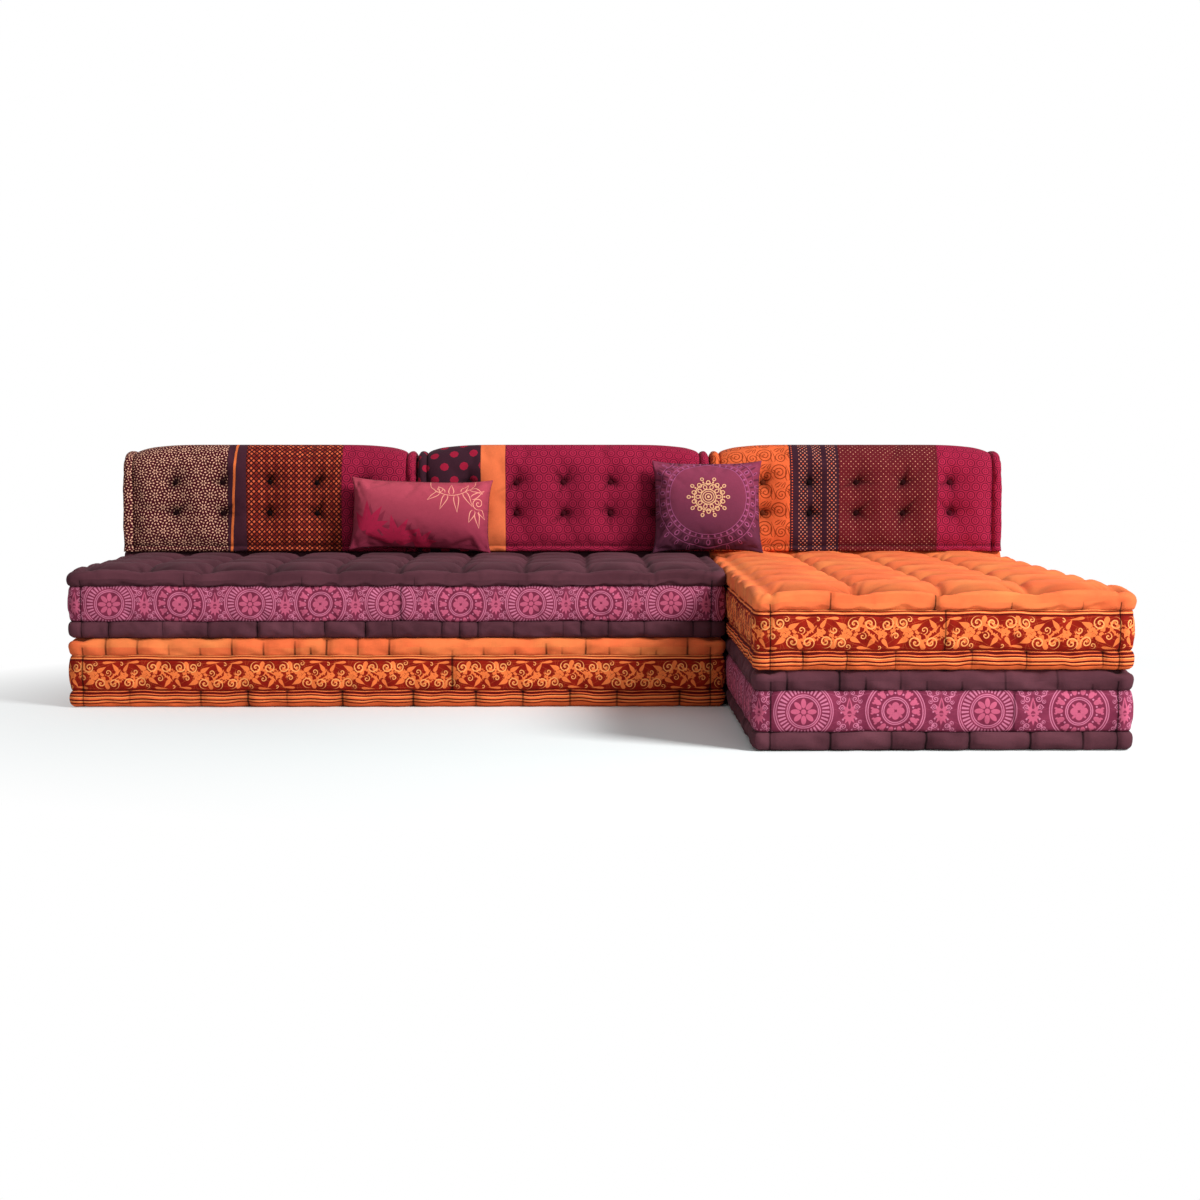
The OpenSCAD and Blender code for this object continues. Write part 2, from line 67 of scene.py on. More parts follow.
Print = tuple[bpy.types.NodeSocket, "Value | None"]


class Part(Enum):
    """Panels that one filled cover is cut into."""

    TOP = 0
    BORDER = 1
    BOTTOM = 2


def smooth(t: Array) -> Array:
    """Eases values from 0 to 1, and keeps what lies outside at the ends."""
    t = np.clip(t, 0, 1)
    return t * t * (3 - 2 * t)


def bell(away: Array, width: float | Array) -> Array:
    """Falls from 1 at no distance to about a third at a width, and on to nothing."""
    return np.exp(-(away / width) ** 2)


def travelled(line: Array) -> Array:
    """Adds up the distance along a line of points, one row each."""
    return np.concatenate([[0], np.cumsum(np.linalg.norm(np.diff(line, axis=0), axis=1))])


def node_box(*names: str) -> tuple[Array, Array]:
    """Finds the box round several solids of the frame.

    Args:
        names: Names of the nodes.

    Returns:
        Lowest and highest corner in metres.
    """
    boxes = [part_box(name) for name in names]
    low = np.min([np.array(box[0]) for box in boxes], axis=0)
    high = np.max([np.array(box[1]) for box in boxes], axis=0)
    return low, high


def grid_quads(rows: int, columns: int, closed: bool = False) -> Array:
    """Numbers the meshes of a net whose knots run row by row.

    Args:
        rows: Rows of knots.
        columns: Knots in each row.
        closed: Whether the last row joins the first.

    Returns:
        Four knot numbers for each mesh.
    """
    spans = rows if closed else rows - 1
    r, c = np.meshgrid(np.arange(spans), np.arange(columns - 1), indexing="ij")
    after = (r + 1) % rows
    corners = [r * columns + c, r * columns + c + 1, after * columns + c + 1, after * columns + c]
    return np.stack(corners, axis=-1).reshape(-1, 4)


def flat_corners(left: Array, right: Array, low: Array, high: Array) -> Array:
    """Places the four corners of meshes on the flat cloth, from the low left one round."""
    corners = [(left, low), (right, low), (right, high), (left, high)]
    return np.stack([np.stack(corner, -1) for corner in corners], axis=1)


def add_object(name: str, data: Any) -> bpy.types.Object:
    """Puts new data into the scene.

    Args:
        name: Name of the object.
        data: Its mesh, lamp or camera.

    Returns:
        The object.
    """
    item = bpy.data.objects.new(name, data)
    bpy.context.scene.collection.objects.link(item)
    return item


@dataclass
class Net:
    """A sheet of cloth as a net of four-sided meshes.

    Attributes:
        points: Places of the knots in metres.
        quads: Four knot numbers for each mesh.
        cloth: Place of each mesh corner on the flat cloth in metres.
        part: Panel number of each mesh.
        held: How firmly each knot is sewn down, from 0 to 1.
        pinch: How strongly the cloth is drawn in round each knot, which also darkens it as painted shade;
            below 0 on the crests, where it lightens it as a painted highlight.
        fold: 1 at knots that lie on a sharp fold, or else 0.
    """

    points: Array
    quads: Array
    cloth: Array
    part: Array
    held: Array
    pinch: Array
    fold: Array

    def mesh(self, name: str, chosen: Array | None = None) -> bpy.types.Mesh:
        """Makes a Blender mesh of the net, or of some of its meshes.

        Args:
            name: Name of the mesh.
            chosen: True for each quad to keep.

        Returns:
            The mesh, with its map of the flat cloth.
        """
        quads = self.quads if chosen is None else self.quads[chosen]
        cloth = self.cloth if chosen is None else self.cloth[chosen]
        used, renumbered = np.unique(quads, return_inverse=True)
        made = bpy.data.meshes.new(name)
        made.from_pydata(self.points[used].tolist(), [], renumbered.reshape(quads.shape).tolist())
        layer = made.uv_layers.new(name=CLOTH_MAP)
        layer.data.foreach_set("uv", cloth.reshape(-1).astype(np.float32))
        for label, values in ((PINCH_AND_SHADE_MAP, self.pinch), (FOLD_MAP, self.fold)):
            marks = made.attributes.new(label, "FLOAT", "POINT")
            marks.data.foreach_set("value", values[used].astype(np.float32))
        made.polygons.foreach_set("use_smooth", np.ones(len(quads), bool))
        made.update()
        return made

    def piece(self, name: str, chosen: Array | None = None) -> "Piece":
        """Makes a fine piece of the net, or of some of its meshes.

        Args:
            name: Name of the piece.
            chosen: True for each quad to keep.

        Returns:
            The piece.
        """
        item = add_object(name, self.mesh(name, chosen))
        rounder = item.modifiers.new("Rounding", "SUBSURF")
        rounder.levels = 1
        rounder.render_levels = 1
        graph = bpy.context.evaluated_depsgraph_get()
        fine = bpy.data.meshes.new_from_object(item.evaluated_get(graph))
        item.modifiers.clear()
        coarse = item.data
        item.data = fine
        bpy.data.meshes.remove(coarse)
        fine.name = name
        return Piece(item)


@dataclass
class Piece:
    """One visible piece of cloth.

    Attributes:
        item: Its Blender object.
    """

    item: bpy.types.Object

    @property
    def points(self) -> Array:
        """Places of the piece's vertices, one row each."""
        mesh = self.item.data
        places = np.empty(len(mesh.vertices) * 3, np.float32)
        mesh.vertices.foreach_get("co", places)
        return places.reshape(-1, 3).astype(float)

    @points.setter
    def points(self, places: Array) -> None:
        """Moves the piece's vertices."""
        self.item.data.vertices.foreach_set("co", places.astype(np.float32).reshape(-1))
        self.item.data.update()

    def marks(self, label: str) -> Array:
        """Reads a mark of each vertex.

        Args:
            label: Name of the mark.

        Returns:
            One number for each vertex.
        """
        values = np.empty(len(self.item.data.vertices), np.float32)
        self.item.data.attributes[label].data.foreach_get("value", values)
        return values.astype(float)

    def paint_crease_shade(self, sink: Array, full: float) -> None:
        """Paints shade into creases that were pressed in, in full from a full depth on."""
        values = np.clip(self.marks(PINCH_AND_SHADE_MAP) + sink / full, 0, 1)
        self.item.data.attributes[PINCH_AND_SHADE_MAP].data.foreach_set("value", values.astype(np.float32))

    def close(self) -> None:
        """Closes each open rim with flat faces inside the cover, so that the piece is one closed form."""
        work = bmesh.new()
        work.from_mesh(self.item.data)
        open_edges = [edge for edge in work.edges if edge.is_boundary]
        filled = bmesh.ops.holes_fill(work, edges=open_edges, sides=0)["faces"]
        for face in filled:
            face.smooth = False
        bmesh.ops.triangulate(work, faces=filled)
        work.to_mesh(self.item.data)
        work.free()
        self.item.data.update()

    def hand_over(self, body: str, nodes: Sequence[str], slot: str, dress: bpy.types.Material,
                  fill: float | None = 0.7) -> None:
        """Fixes the piece to its body and lets it stand for its solids.

        Args:
            body: Body that the piece rides on.
            nodes: Nodes that the piece stands for.
            slot: Material slot of the record; not used.
            dress: The finish.
            fill: How tightly it is stuffed, or None where it isn't stuffed; not used.
        """
        self.item.data.materials.clear()
        self.item.data.materials.append(dress)
        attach(self.item, body)
        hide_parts(*nodes)
        LOG.info("piece %s: %d faces", self.item.name, len(self.item.data.polygons))


@dataclass(frozen=True)
class Filling:
    """How hard a cover is filled, for the cloth simulation.

    Attributes:
        pressure: Pressure inside the cover.
        spare: Share of spare cloth, which makes the creases.
        stiffness: Pull of the cloth along its threads.
        bending: Stiffness against folds.
        frames: Steps that the simulation runs for.
        reach: Furthest that a knot may move in metres.
    """

    pressure: float = 4.0
    spare: float = 0.03
    stiffness: float = 15.0
    bending: float = 0.5
    frames: int = 20
    reach: float = 18 * MM

    def hang(self, net: Net) -> bpy.types.Object:
        """Sets a net up as cloth.

        Args:
            net: The cover.

        Returns:
            A passing object with the cloth modifier.
        """
        item = add_object("cloth_run", net.mesh("cloth_run"))
        group = item.vertex_groups.new(name="held")
        for level in np.unique(net.held[net.held > 0]):
            group.add(np.nonzero(net.held == level)[0].tolist(), float(level), "REPLACE")
        cloth = item.modifiers.new("Cloth", "CLOTH")
        settings = cloth.settings
        settings.quality = 4
        settings.mass = 0.3
        settings.tension_stiffness = self.stiffness
        settings.compression_stiffness = self.stiffness
        settings.shear_stiffness = self.stiffness / 2
        settings.bending_stiffness = self.bending
        settings.use_pressure = True
        settings.uniform_pressure_force = self.pressure
        settings.vertex_group_mass = "held"
        settings.shrink_min = -self.spare
        settings.shrink_max = -self.spare
        settings.effector_weights.gravity = 0
        cloth.collision_settings.use_collision = False
        cloth.point_cache.frame_start = 1
        cloth.point_cache.frame_end = self.frames
        return item


def inflate(jobs: Sequence[tuple[Net, Filling]]) -> None:
    """Fills several covers in one run of the cloth simulation and keeps the result in their nets.

    Args:
        jobs: Each net with its filling.
    """
    scene = bpy.context.scene
    objects = [filling.hang(net) for net, filling in jobs]
    for step in range(1, max(filling.frames for _, filling in jobs) + 1):
        scene.frame_set(step)
    graph = bpy.context.evaluated_depsgraph_get()
    for item, (net, filling) in zip(objects, jobs):
        filled = item.evaluated_get(graph).to_mesh()
        places = np.empty(len(filled.vertices) * 3, np.float32)
        filled.vertices.foreach_get("co", places)
        item.evaluated_get(graph).to_mesh_clear()
        moved = places.reshape(-1, 3).astype(float) - net.points
        length = np.linalg.norm(moved, axis=1, keepdims=True)
        net.points = net.points + moved * np.minimum(1, filling.reach / np.maximum(length, TINY))
        LOG.info("cloth: %d knots, moved %.1f mm at most", len(net.points), float(length.max()) / MM)
        bpy.data.meshes.remove(item.data)
    scene.frame_set(1)


@dataclass(frozen=True)
class Creases:
    """Short creases that run out from each tuft like the rays of a star.

    Attributes:
        spread: How far from a tuft the cloth sinks at all, in metres.
        longest: Longest crease.
        deepest: Deepest crease.
        full: Depth at which a crease's painted shade is full.
        rays: Creases at each tuft.
        hollow: Radius of the hollow at the tuft itself.
        width: Half the width of a crease.
    """

    spread: float
    longest: float
    deepest: float
    full: float = 5 * MM
    rays: int = 7
    hollow: float = 8 * MM
    width: float = 4.5 * MM

    def press(self, plan: Array, tufts: Array, seed: int) -> Array:
        """Works out how far the cloth sinks.

        Args:
            plan: Place of each vertex across and along the cloth.
            tufts: Place of each tuft, likewise.
            seed: Seed of the chances.

        Returns:
            Depth of each vertex in metres.
        """
        chance = np.random.default_rng(seed)
        sink = np.zeros(len(plan))
        for tuft in tufts:
            headings = chance.uniform(0, 2 * np.pi, self.rays)
            depths = chance.uniform(0.3, 1.0, self.rays) * self.deepest
            lengths = chance.uniform(0.35, 1.0, self.rays) * self.longest
            x, y = (plan - tuft).T
            near = np.nonzero(np.hypot(x, y) < self.spread)[0]
            reach, turn = np.hypot(x[near], y[near]), np.arctan2(y[near], x[near])
            sink[near] += 0.9 * self.deepest * bell(reach, self.hollow)
            for heading, depth, length in zip(headings, depths, lengths):
                off = np.abs(np.angle(np.exp(1j * (turn - heading))))
                sink[near] += depth * bell(off * reach, self.width) * bell(reach, length) * (off < 1)
        return sink


@dataclass
class Mattress:
    """One tufted mattress: a filled cover of a top, a printed border and a base panel.

    The fields that aren't listed are its sizes in metres.

    Attributes:
        name: Start of its nodes' names, and the name of its body.
        columns: Puffs along X.
        rows: Puffs along Y.
        quilted: Whether its top shows full puffs, or lies pressed flat under another mattress.
        seed: Seed of its tucks and creases.
        cells: Meshes across a puff.
        edge_lines: Lines of the net over a roll, as shares of its width.
        tuck_start: Strength of a tuck where it starts, before it runs out.
        tuck_faint: Strength below which a tuck leaves no fold.
        creases: Creases round the tufts of its top.
    """

    name: str
    columns: int
    rows: int
    quilted: bool
    seed: int
    cells: int = 14
    edge_lines: tuple[float, ...] = (0.0, 0.06, 0.2, 0.42, 0.7)
    tuck_start: float = 1.15
    tuck_faint: float = 0.08
    creases: Creases = Creases(190 * MM, 105 * MM, 7.5 * MM, full=8.5 * MM)
    roll_high: float = 48 * MM
    roll_wide: float = 44 * MM
    seam_in: float = 6.5 * MM
    border_in: float = 1.0 * MM
    edge_in: float = 1.5 * MM
    puff_crown: float = 8 * MM
    tuft_dip: float = 36 * MM
    flat_dip: float = 4 * MM
    corner_seam: float = 35 * MM
    tuck_margin: float = 30 * MM
    roll_tuck: float = 11 * MM
    border_tuck: float = 5 * MM
    tuck_drop: float = 6 * MM
    side_gap: float = 0.2 * MM
    crown_limit: float = 12 * MM
    pressed: float = 9.7 * MM
    net: Net = field(init=False)

    def __post_init__(self) -> None:
        """Reads the mattress's place and size from the frame."""
        low, high = node_box(f"{self.name}_bottom", f"{self.name}_border")
        self.centre = (low + high) / 2
        self.foot = float(low[2])
        self.half = (high - low)[:2] / 2
        self.inner = self.half - self.roll_wide
        self.pitch = 2 * self.inner / [self.columns, self.rows]
        self.thick = float(node_box(f"{self.name}_top")[0][2]) + self.roll_high - self.foot
        self.back_front = float(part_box("back_middle_cover")[0].y) - float(self.centre[1])

    @property
    def floral(self) -> bool:
        """Whether its border is printed with the vine, whose stripes run on over the lower roll."""
        return self.name in ("long_base", "chaise_seat")

    @property
    def steps(self) -> tuple[int, int]:
        """Meshes of the top along X and along Y, with those over the rolls."""
        return tuple(puffs * self.cells + 2 * len(self.edge_lines) for puffs in (self.columns, self.rows))

    def lines(self, axis: int) -> Array:
        """Places the net's lines across the top along one axis.

        Args:
            axis: 0 for X or 1 for Y.

        Returns:
            Places from the centre in metres.
        """
        half, reach, puffs = self.half[axis], self.inner[axis], (self.columns, self.rows)[axis]
        edge = np.array(self.edge_lines) * self.roll_wide
        inner = np.linspace(-reach, reach, puffs * self.cells + 1)
        return np.concatenate([edge - half, inner, (half - edge)[::-1]])

    def rounded(self, x: Array, y: Array) -> tuple[Array, Array]:
        """Bends the square corners of the plan round.

        Args:
            x: Places along X.
            y: Places along Y.

        Returns:
            The places with round corners.
        """
        squareness = 3
        u, v = np.abs(x) - self.inner[0], np.abs(y) - self.inner[1]
        angle = np.where(v <= u, 45 * v / np.maximum(u, TINY), 90 - 45 * u / np.maximum(v, TINY))
        c, s = np.cos(np.radians(angle)), np.sin(np.radians(angle))
        reach = np.maximum(u, v) * (np.abs(c) ** squareness + np.abs(s) ** squareness) ** (-1 / squareness)
        corner = (u > 0) & (v > 0)
        new_x = np.sign(x) * (self.inner[0] + reach * c)
        new_y = np.sign(y) * (self.inner[1] + reach * s)
        return np.where(corner, new_x, x), np.where(corner, new_y, y)

    def outward(self, plan: Array) -> Array:
        """Finds the way straight out of the outline.

        Args:
            plan: Places in the plan, from the centre.

        Returns:
            One way in the plan for each place.
        """
        over = np.maximum(np.abs(plan) - self.inner, 0)
        way = np.sign(plan) * over
        return way / np.maximum(np.linalg.norm(way, axis=-1, keepdims=True), TINY)

    def tuft_places(self) -> Array:
        """Places the tufts in the plan, the outer ones in the valley behind the roll.

        Returns:
            One row of x and y for each tuft, from the centre.
        """
        xs = np.linspace(-self.inner[0], self.inner[0], self.columns + 1)
        ys = np.linspace(-self.inner[1], self.inner[1], self.rows + 1)
        x, y = np.meshgrid(xs, ys, indexing="ij")
        return np.stack([x.ravel(), y.ravel()], axis=-1)

    def top_height(self, x: Array, y: Array) -> Array:
        """Works out the height of the quilting over the roll's crest.

        Args:
            x: Places along X from the centre.
            y: Places along Y from the centre.

        Returns:
            Heights in metres.
        """
        dome, ridge, cross = 0.62, 0.38, 0.12
        edge = np.minimum(self.half[0] - np.abs(x), self.half[1] - np.abs(y))
        radius = self.roll_high / 2
        rise = np.sqrt(np.maximum(radius ** 2 - np.maximum(radius - edge, 0) ** 2, 0)) - radius
        a = np.abs(np.sin(np.pi * (x + self.inner[0]) / self.pitch[0]))
        b = np.abs(np.sin(np.pi * (y + self.inner[1]) / self.pitch[1]))
        full, dip = (self.puff_crown, self.tuft_dip) if self.quilted else (0.0, self.flat_dip)
        puff = dome * (a * b) ** 0.42 + ridge * np.maximum(a, b) ** 0.7 + cross * (1 - a) * b
        quilt = (full + dip) * puff - dip
        if self.quilted:
            under = self.under_back(y)
            quilt = quilt * (1 - under) + self.pressed * under
            rise = rise * (1 - 0.97 * under) + self.pressed * under
        inside = smooth((edge - radius) / (self.roll_wide - radius))
        return rise * (1 - inside) + quilt * inside

    def under_back(self, y: Array) -> Array:
        """Finds the share of the pressing by the backs that stand on the rear strip."""
        return smooth((y - self.back_front - 12 * MM) / (20 * MM))

    def profile(self) -> tuple[Array, Array, Array, list[Part]]:
        """Draws the side from the roll's edge down to the foot.

        Returns:
            How far each row lies behind the edge, its height, how firmly it is sewn, and its panel.
        """
        radius = self.roll_high / 2
        band = self.thick - 2 * self.roll_high
        strips, bow_power = 10, 2.6
        rows: list[tuple[float, float, float, Part]] = []

        def go_round(angles: Sequence[float], top: float, part: Part) -> None:
            """Adds the rows round one roll, at angles below its outermost line."""
            for turn in np.radians(angles):
                inset = radius * (1 - math.cos(turn)) ** 1.5 * 0.6
                rows.append((inset, top - radius * (1 + math.sin(turn)), 0.0, part))

        go_round((22, 45, 66), self.thick, Part.TOP)
        rows.append((self.seam_in, self.thick - self.roll_high, 1.0, Part.TOP))
        for k in range(1, strips):
            bow = (self.seam_in - self.border_in - 1 * MM) * abs(2 * k / strips - 1) ** bow_power
            height = self.thick - self.roll_high - band * k / strips
            rows.append((self.border_in + bow, height, 0.0, Part.BORDER))
        rows.append((self.seam_in, self.roll_high, 1.0, Part.BORDER))
        go_round((-66, -45, -22, 0, 25, 50, 72), self.roll_high, Part.BOTTOM)
        rows += [(radius * share, 0.0, 1.0, Part.BOTTOM) for share in (0.85, 1.7)]
        data = np.array([row[:3] for row in rows])
        return data[:, 0] + self.edge_in, data[:, 1], data[:, 2], [row[3] for row in rows]

    def ring_numbers(self) -> Array:
        """Numbers the knots of the top's outline, counter-clockwise from the front left.

        Returns:
            Knot numbers.
        """
        a, b = self.steps
        number = np.arange((a + 1) * (b + 1)).reshape(a + 1, b + 1)
        return np.concatenate([number[:a, 0], number[a, :b], number[a:0:-1, b], number[0, b:0:-1]])

    def tucks(self, along: Array, corners: Array) -> dict[Part, tuple[Array, Array]]:
        """Chooses the knots of the outline where each panel is gathered.

        Args:
            along: Distance of each outline knot from the first.
            corners: Distance of each corner from the first knot.

        Returns:
            For each panel how sharply it is drawn in at each knot, and how soon the tuck runs out.
        """
        chance = np.random.default_rng(self.seed)
        spans = {Part.TOP: (150, 380) if self.quilted else (38, 120),
                 Part.BORDER: (450, 1200),
                 Part.BOTTOM: (60, 240) if self.floral else (42, 160)}
        found = {}
        for part, span in spans.items():
            sharp, slope = np.zeros(len(along)), np.zeros(len(along))
            place = chance.uniform(*span) * MM
            while place < along[-1]:
                nearest = int(np.abs(along - place).argmin())
                place += chance.uniform(*span) * MM
                if np.abs(along[nearest] - corners).min() > self.corner_seam + self.tuck_margin:
                    sharp[nearest] = chance.uniform(0.35, 1.0)
                    slope[nearest] = chance.uniform(0.1, 1.2)
            found[part] = (sharp, slope)
        return found

    def build(self) -> None:
        """Lays out the cover's cloth from its tufted top down to its foot."""
        x, y = np.meshgrid(self.lines(0), self.lines(1), indexing="ij")
        top = np.stack([*self.rounded(x, y), self.thick + self.top_height(x, y)], axis=-1).reshape(-1, 3)
        flat = np.stack([x, y], axis=-1).reshape(-1, 2)
        top_quads = grid_quads(*x.shape)[:, [0, 3, 2, 1]]
        ring = self.ring_numbers()
        rim, count, first = top[ring], len(ring), len(top)
        way = self.outward(rim[:, :2])
        along = travelled(np.vstack([rim, rim[:1]])[:, :2])
        self.around = float(along[-1])
        insets, heights, held, parts = self.profile()
        sides = [np.column_stack([rim[:, :2] - way * inset, np.full(count, height)])
                 for inset, height in zip(insets, heights)]
        numbers = [ring, *(first + k * count + np.arange(count) for k in range(len(parts)))]
        levels = np.concatenate([[self.thick - self.roll_high / 2], heights]) - self.thick / 2
        quads, cloth, part = [top_quads], [flat[top_quads]], [np.full(len(top_quads), Part.TOP.value)]
        for k, panel in enumerate(parts):
            upper, lower = numbers[k], numbers[k + 1]
            quads.append(np.stack([lower, np.roll(lower, -1), np.roll(upper, -1), upper], axis=-1))
            low, high = np.full(count, levels[k + 1]), np.full(count, levels[k])
            cloth.append(flat_corners(along[:-1], along[1:], low, high))
            part.append(np.full(count, panel.value))
        points = np.vstack([top, *sides])
        pins, pinch, fold = np.zeros((3, len(points)))
        for row, firm in zip(numbers[1:], held):
            pins[row] = firm
        gap = np.abs(flat[:, None, :] - self.tuft_places()[None, :, :]).max(axis=-1).min(axis=1)
        tufted = gap < 1 * MM
        pins[:first][tufted] = 1.0
        if self.quilted:
            fold[:first][tufted] = 1.0
            pinch[:first] = self.valley_shade(flat)
        self.pinch_sides(pinch, fold, numbers, along[:-1], parts)
        self.sway(points, numbers, along[:-1])
        self.net = Net(points, np.vstack(quads), np.vstack(cloth), np.concatenate(part), pins, pinch, fold)

    def valley_shade(self, flat: Array) -> Array:
        """Paints shade into the valleys between puffs and the hollows round the tufts, and a highlight on the
        crests.

        Args:
            flat: Places of the top's knots from the centre.

        Returns:
            Painted shade at each knot, below 0 on the crests, where it is a painted highlight.
        """
        broad, line, hole = np.array([17 * MM, 62 * MM]), 7 * MM, 15 * MM
        off = np.abs((flat + self.inner + self.pitch / 2) % self.pitch - self.pitch / 2)
        inside = (np.abs(flat) < self.inner + 1 * MM).all(axis=1)
        # Painted shade in the valleys and the tufts' hollows, less a painted highlight on the puffs' crests,
        # which takes the mark below 0.
        lanes = (0.5 * bell(off, broad) + 0.3 * bell(off, line)) * [0.45, 1.25]
        hollow = 1.1 * bell(np.hypot(off[:, 0], off[:, 1]), hole)
        crest = 0.75 * np.prod(np.sin(np.pi * off / self.pitch), axis=1) ** 2
        shade = np.maximum(lanes.max(axis=1), hollow) - crest
        return shade * inside * (1 - 0.7 * self.under_back(flat[:, 1]))

    def corner_seams(self, along: Array, corners: Array) -> Array:
        """Finds the knots of the upright seams on both sides of each corner.

        Args:
            along: Distance of each outline knot from the first.
            corners: Which outline knots are corners.

        Returns:
            1 at each seam, or else 0.
        """
        count = len(along)
        seams = np.zeros(count)
        for corner in corners:
            away = np.abs((along - along[corner] + self.around / 2) % self.around - self.around / 2)
            half = (np.arange(count) - corner + count // 2) % count - count // 2
            for side in (-1, 1):
                own = np.where(np.sign(half) == side, np.abs(away - self.corner_seam), 1.0)
                seams[int(own.argmin())] = 1.0
        return seams

    def pinch_sides(self, pinch: Array, fold: Array, numbers: list[Array], along: Array,
                    parts: list[Part]) -> None:
        """Marks the tucks of the rolls and the upright seams of the corners, with painted shade in and beside
        them, and in the seams between panels.

        Args:
            pinch: How strongly each knot is drawn in, and its painted shade, changed in place.
            fold: Which knots lie on a sharp fold, changed in place.
            numbers: Knot numbers of each row of the side.
            along: Distance of each outline knot from the first.
            parts: Panel under each row.
        """
        a, b = self.steps
        corners = np.array([0, a, a + b, 2 * a + b])
        tucks = self.tucks(along, np.append(along[corners], self.around))
        seams = self.corner_seams(along, corners)
        panels = [Part.TOP, *parts]
        for k, (row, part) in enumerate(zip(numbers, panels)):
            own_rows = [n for n, panel in enumerate(panels) if panel is part]
            gone = (k - own_rows[0]) / max(len(own_rows) - 1, 1)
            far = {Part.TOP: 1 - gone, Part.BORDER: 0.0, Part.BOTTOM: gone}[part]
            sharp, slope = tucks[part]
            marks = sharp * np.clip(self.tuck_start - slope * far, 0, 1)
            marks = np.maximum(marks, seams * (0.85 if part is Part.BORDER else 0.6))
            fold[row] = np.maximum(fold[row], marks > self.tuck_faint)
            beside = np.maximum(np.roll(marks, 1), np.roll(marks, -1))
            # Painted shade in each tuck, and a little beside it.
            pinch[row] = np.maximum(pinch[row], np.maximum(marks * 0.85, beside * 0.24))
            if part is not panels[min(k + 1, len(panels) - 1)]:
                # Painted shade in the seam where one panel meets the next.
                fold[row], pinch[row] = 1.0, np.maximum(pinch[row], 0.42)
        self.pinch_crest(pinch, fold, numbers[0], tucks[Part.TOP])

    def pinch_crest(self, pinch: Array, fold: Array, ring: Array, tucks: tuple[Array, Array]) -> None:
        """Lets the tucks of the upper roll, with their painted shade, run in over its crest.

        Args:
            pinch: How strongly each knot is drawn in, and its painted shade, changed in place.
            fold: Which knots lie on a sharp fold, changed in place.
            ring: Knot numbers of the top's outline.
            tucks: How sharp each tuck is, and how soon it runs out.
        """
        reach = 4
        sharp, slope = tucks
        for index in np.nonzero(sharp)[0]:
            for k in range(1, reach):
                knot = ring[index] + k * self.step_in(index)
                left = sharp[index] * max(self.tuck_start - slope[index] * (1 + 0.5 * k), 0)
                # Painted shade in the tuck as it runs in over the crest.
                pinch[knot] = max(pinch[knot], left * 0.8)
                fold[knot] = float(left > self.tuck_faint)

    def step_in(self, index: int) -> int:
        """Finds the step in knot numbers from an outline knot to the next one inward.

        Args:
            index: Place of the knot in the outline.

        Returns:
            The step.
        """
        a, b = self.steps
        ends = (a, a + b, 2 * a + b, math.inf)
        return next(step for end, step in zip(ends, (1, -b - 1, -1, b + 1)) if index < end)

    def sway(self, points: Array, numbers: list[Array], along: Array) -> None:
        """Lets the seams wander a little up and down.

        Args:
            points: Places of the knots, changed in place.
            numbers: Knot numbers of each row of the side.
            along: Distance of each outline knot from the first.
        """
        chance = np.random.default_rng(self.seed + 50)
        waves = np.array([9, 14, 23, 37, 58])
        phases = chance.uniform(0, 2 * np.pi, len(waves))
        swell = chance.uniform(0.4, 0.9, len(waves)) * MM
        turns = 2 * np.pi * along[:, None] / self.around * waves + phases
        rise = (np.sin(turns) * swell).sum(axis=1)
        for row in numbers:
            height = points[row, 2] / self.thick
            points[row, 2] += rise * np.sin(np.pi * np.clip(height, 0, 1) ** 0.8)

    def gather(self, piece: Piece, part: Part) -> None:
        """Draws a fine panel in at its tucks and keeps it in its own space.

        Args:
            piece: The panel.
            part: Which panel it is.
        """
        places = piece.points
        plan = places[:, :2] - self.centre[:2]
        way = self.outward(plan)
        depth = self.border_tuck if part is Part.BORDER else self.roll_tuck
        marks = np.maximum(piece.marks(PINCH_AND_SHADE_MAP), 0) * piece.marks(FOLD_MAP) ** 2
        outer = np.linalg.norm(way, axis=1) > 0.5
        places[:, :2] -= way * (depth * marks * outer)[:, None]
        if part is Part.TOP:
            places[:, 2] -= np.where(outer, marks * self.tuck_drop, 0)
            if self.quilted:
                under = self.under_back(plan[:, 1])
                sink = self.creases.press(plan, self.tuft_places(), self.seed + 100) * (1 - 0.8 * under)
                places[:, 2] -= sink
                # Painted shade in the pressed creases round the tufts.
                piece.paint_crease_shade(sink, self.creases.full)
                limit = self.crown_limit * (1 - under) + (self.pressed + 0.3 * MM) * under
                places[:, 2] = np.minimum(places[:, 2], self.foot + self.thick + limit)
        reach = self.half - self.side_gap
        places[:, :2] = self.centre[:2] + np.clip(places[:, :2] - self.centre[:2], -reach, reach)
        places[:, 2] = np.maximum(places[:, 2], self.foot)
        if not self.quilted:
            places[:, 2] = np.minimum(places[:, 2], self.foot + self.thick)
        piece.points = places

    def finish(self, dress: dict[Part, bpy.types.Material], slots: dict[Part, str]) -> None:
        """Cuts the filled cover into its panels and dresses them.

        Args:
            dress: Material of each panel.
            slots: Material slot of each panel.
        """
        self.net.points += np.array([self.centre[0], self.centre[1], self.foot])
        for part in Part:
            node = f"{self.name}_{part.name.lower()}"
            piece = self.net.piece(f"{node}_cover", self.net.part == part.value)
            self.gather(piece, part)
            piece.close()
            piece.hand_over(self.name, [node], slots[part], dress[part])


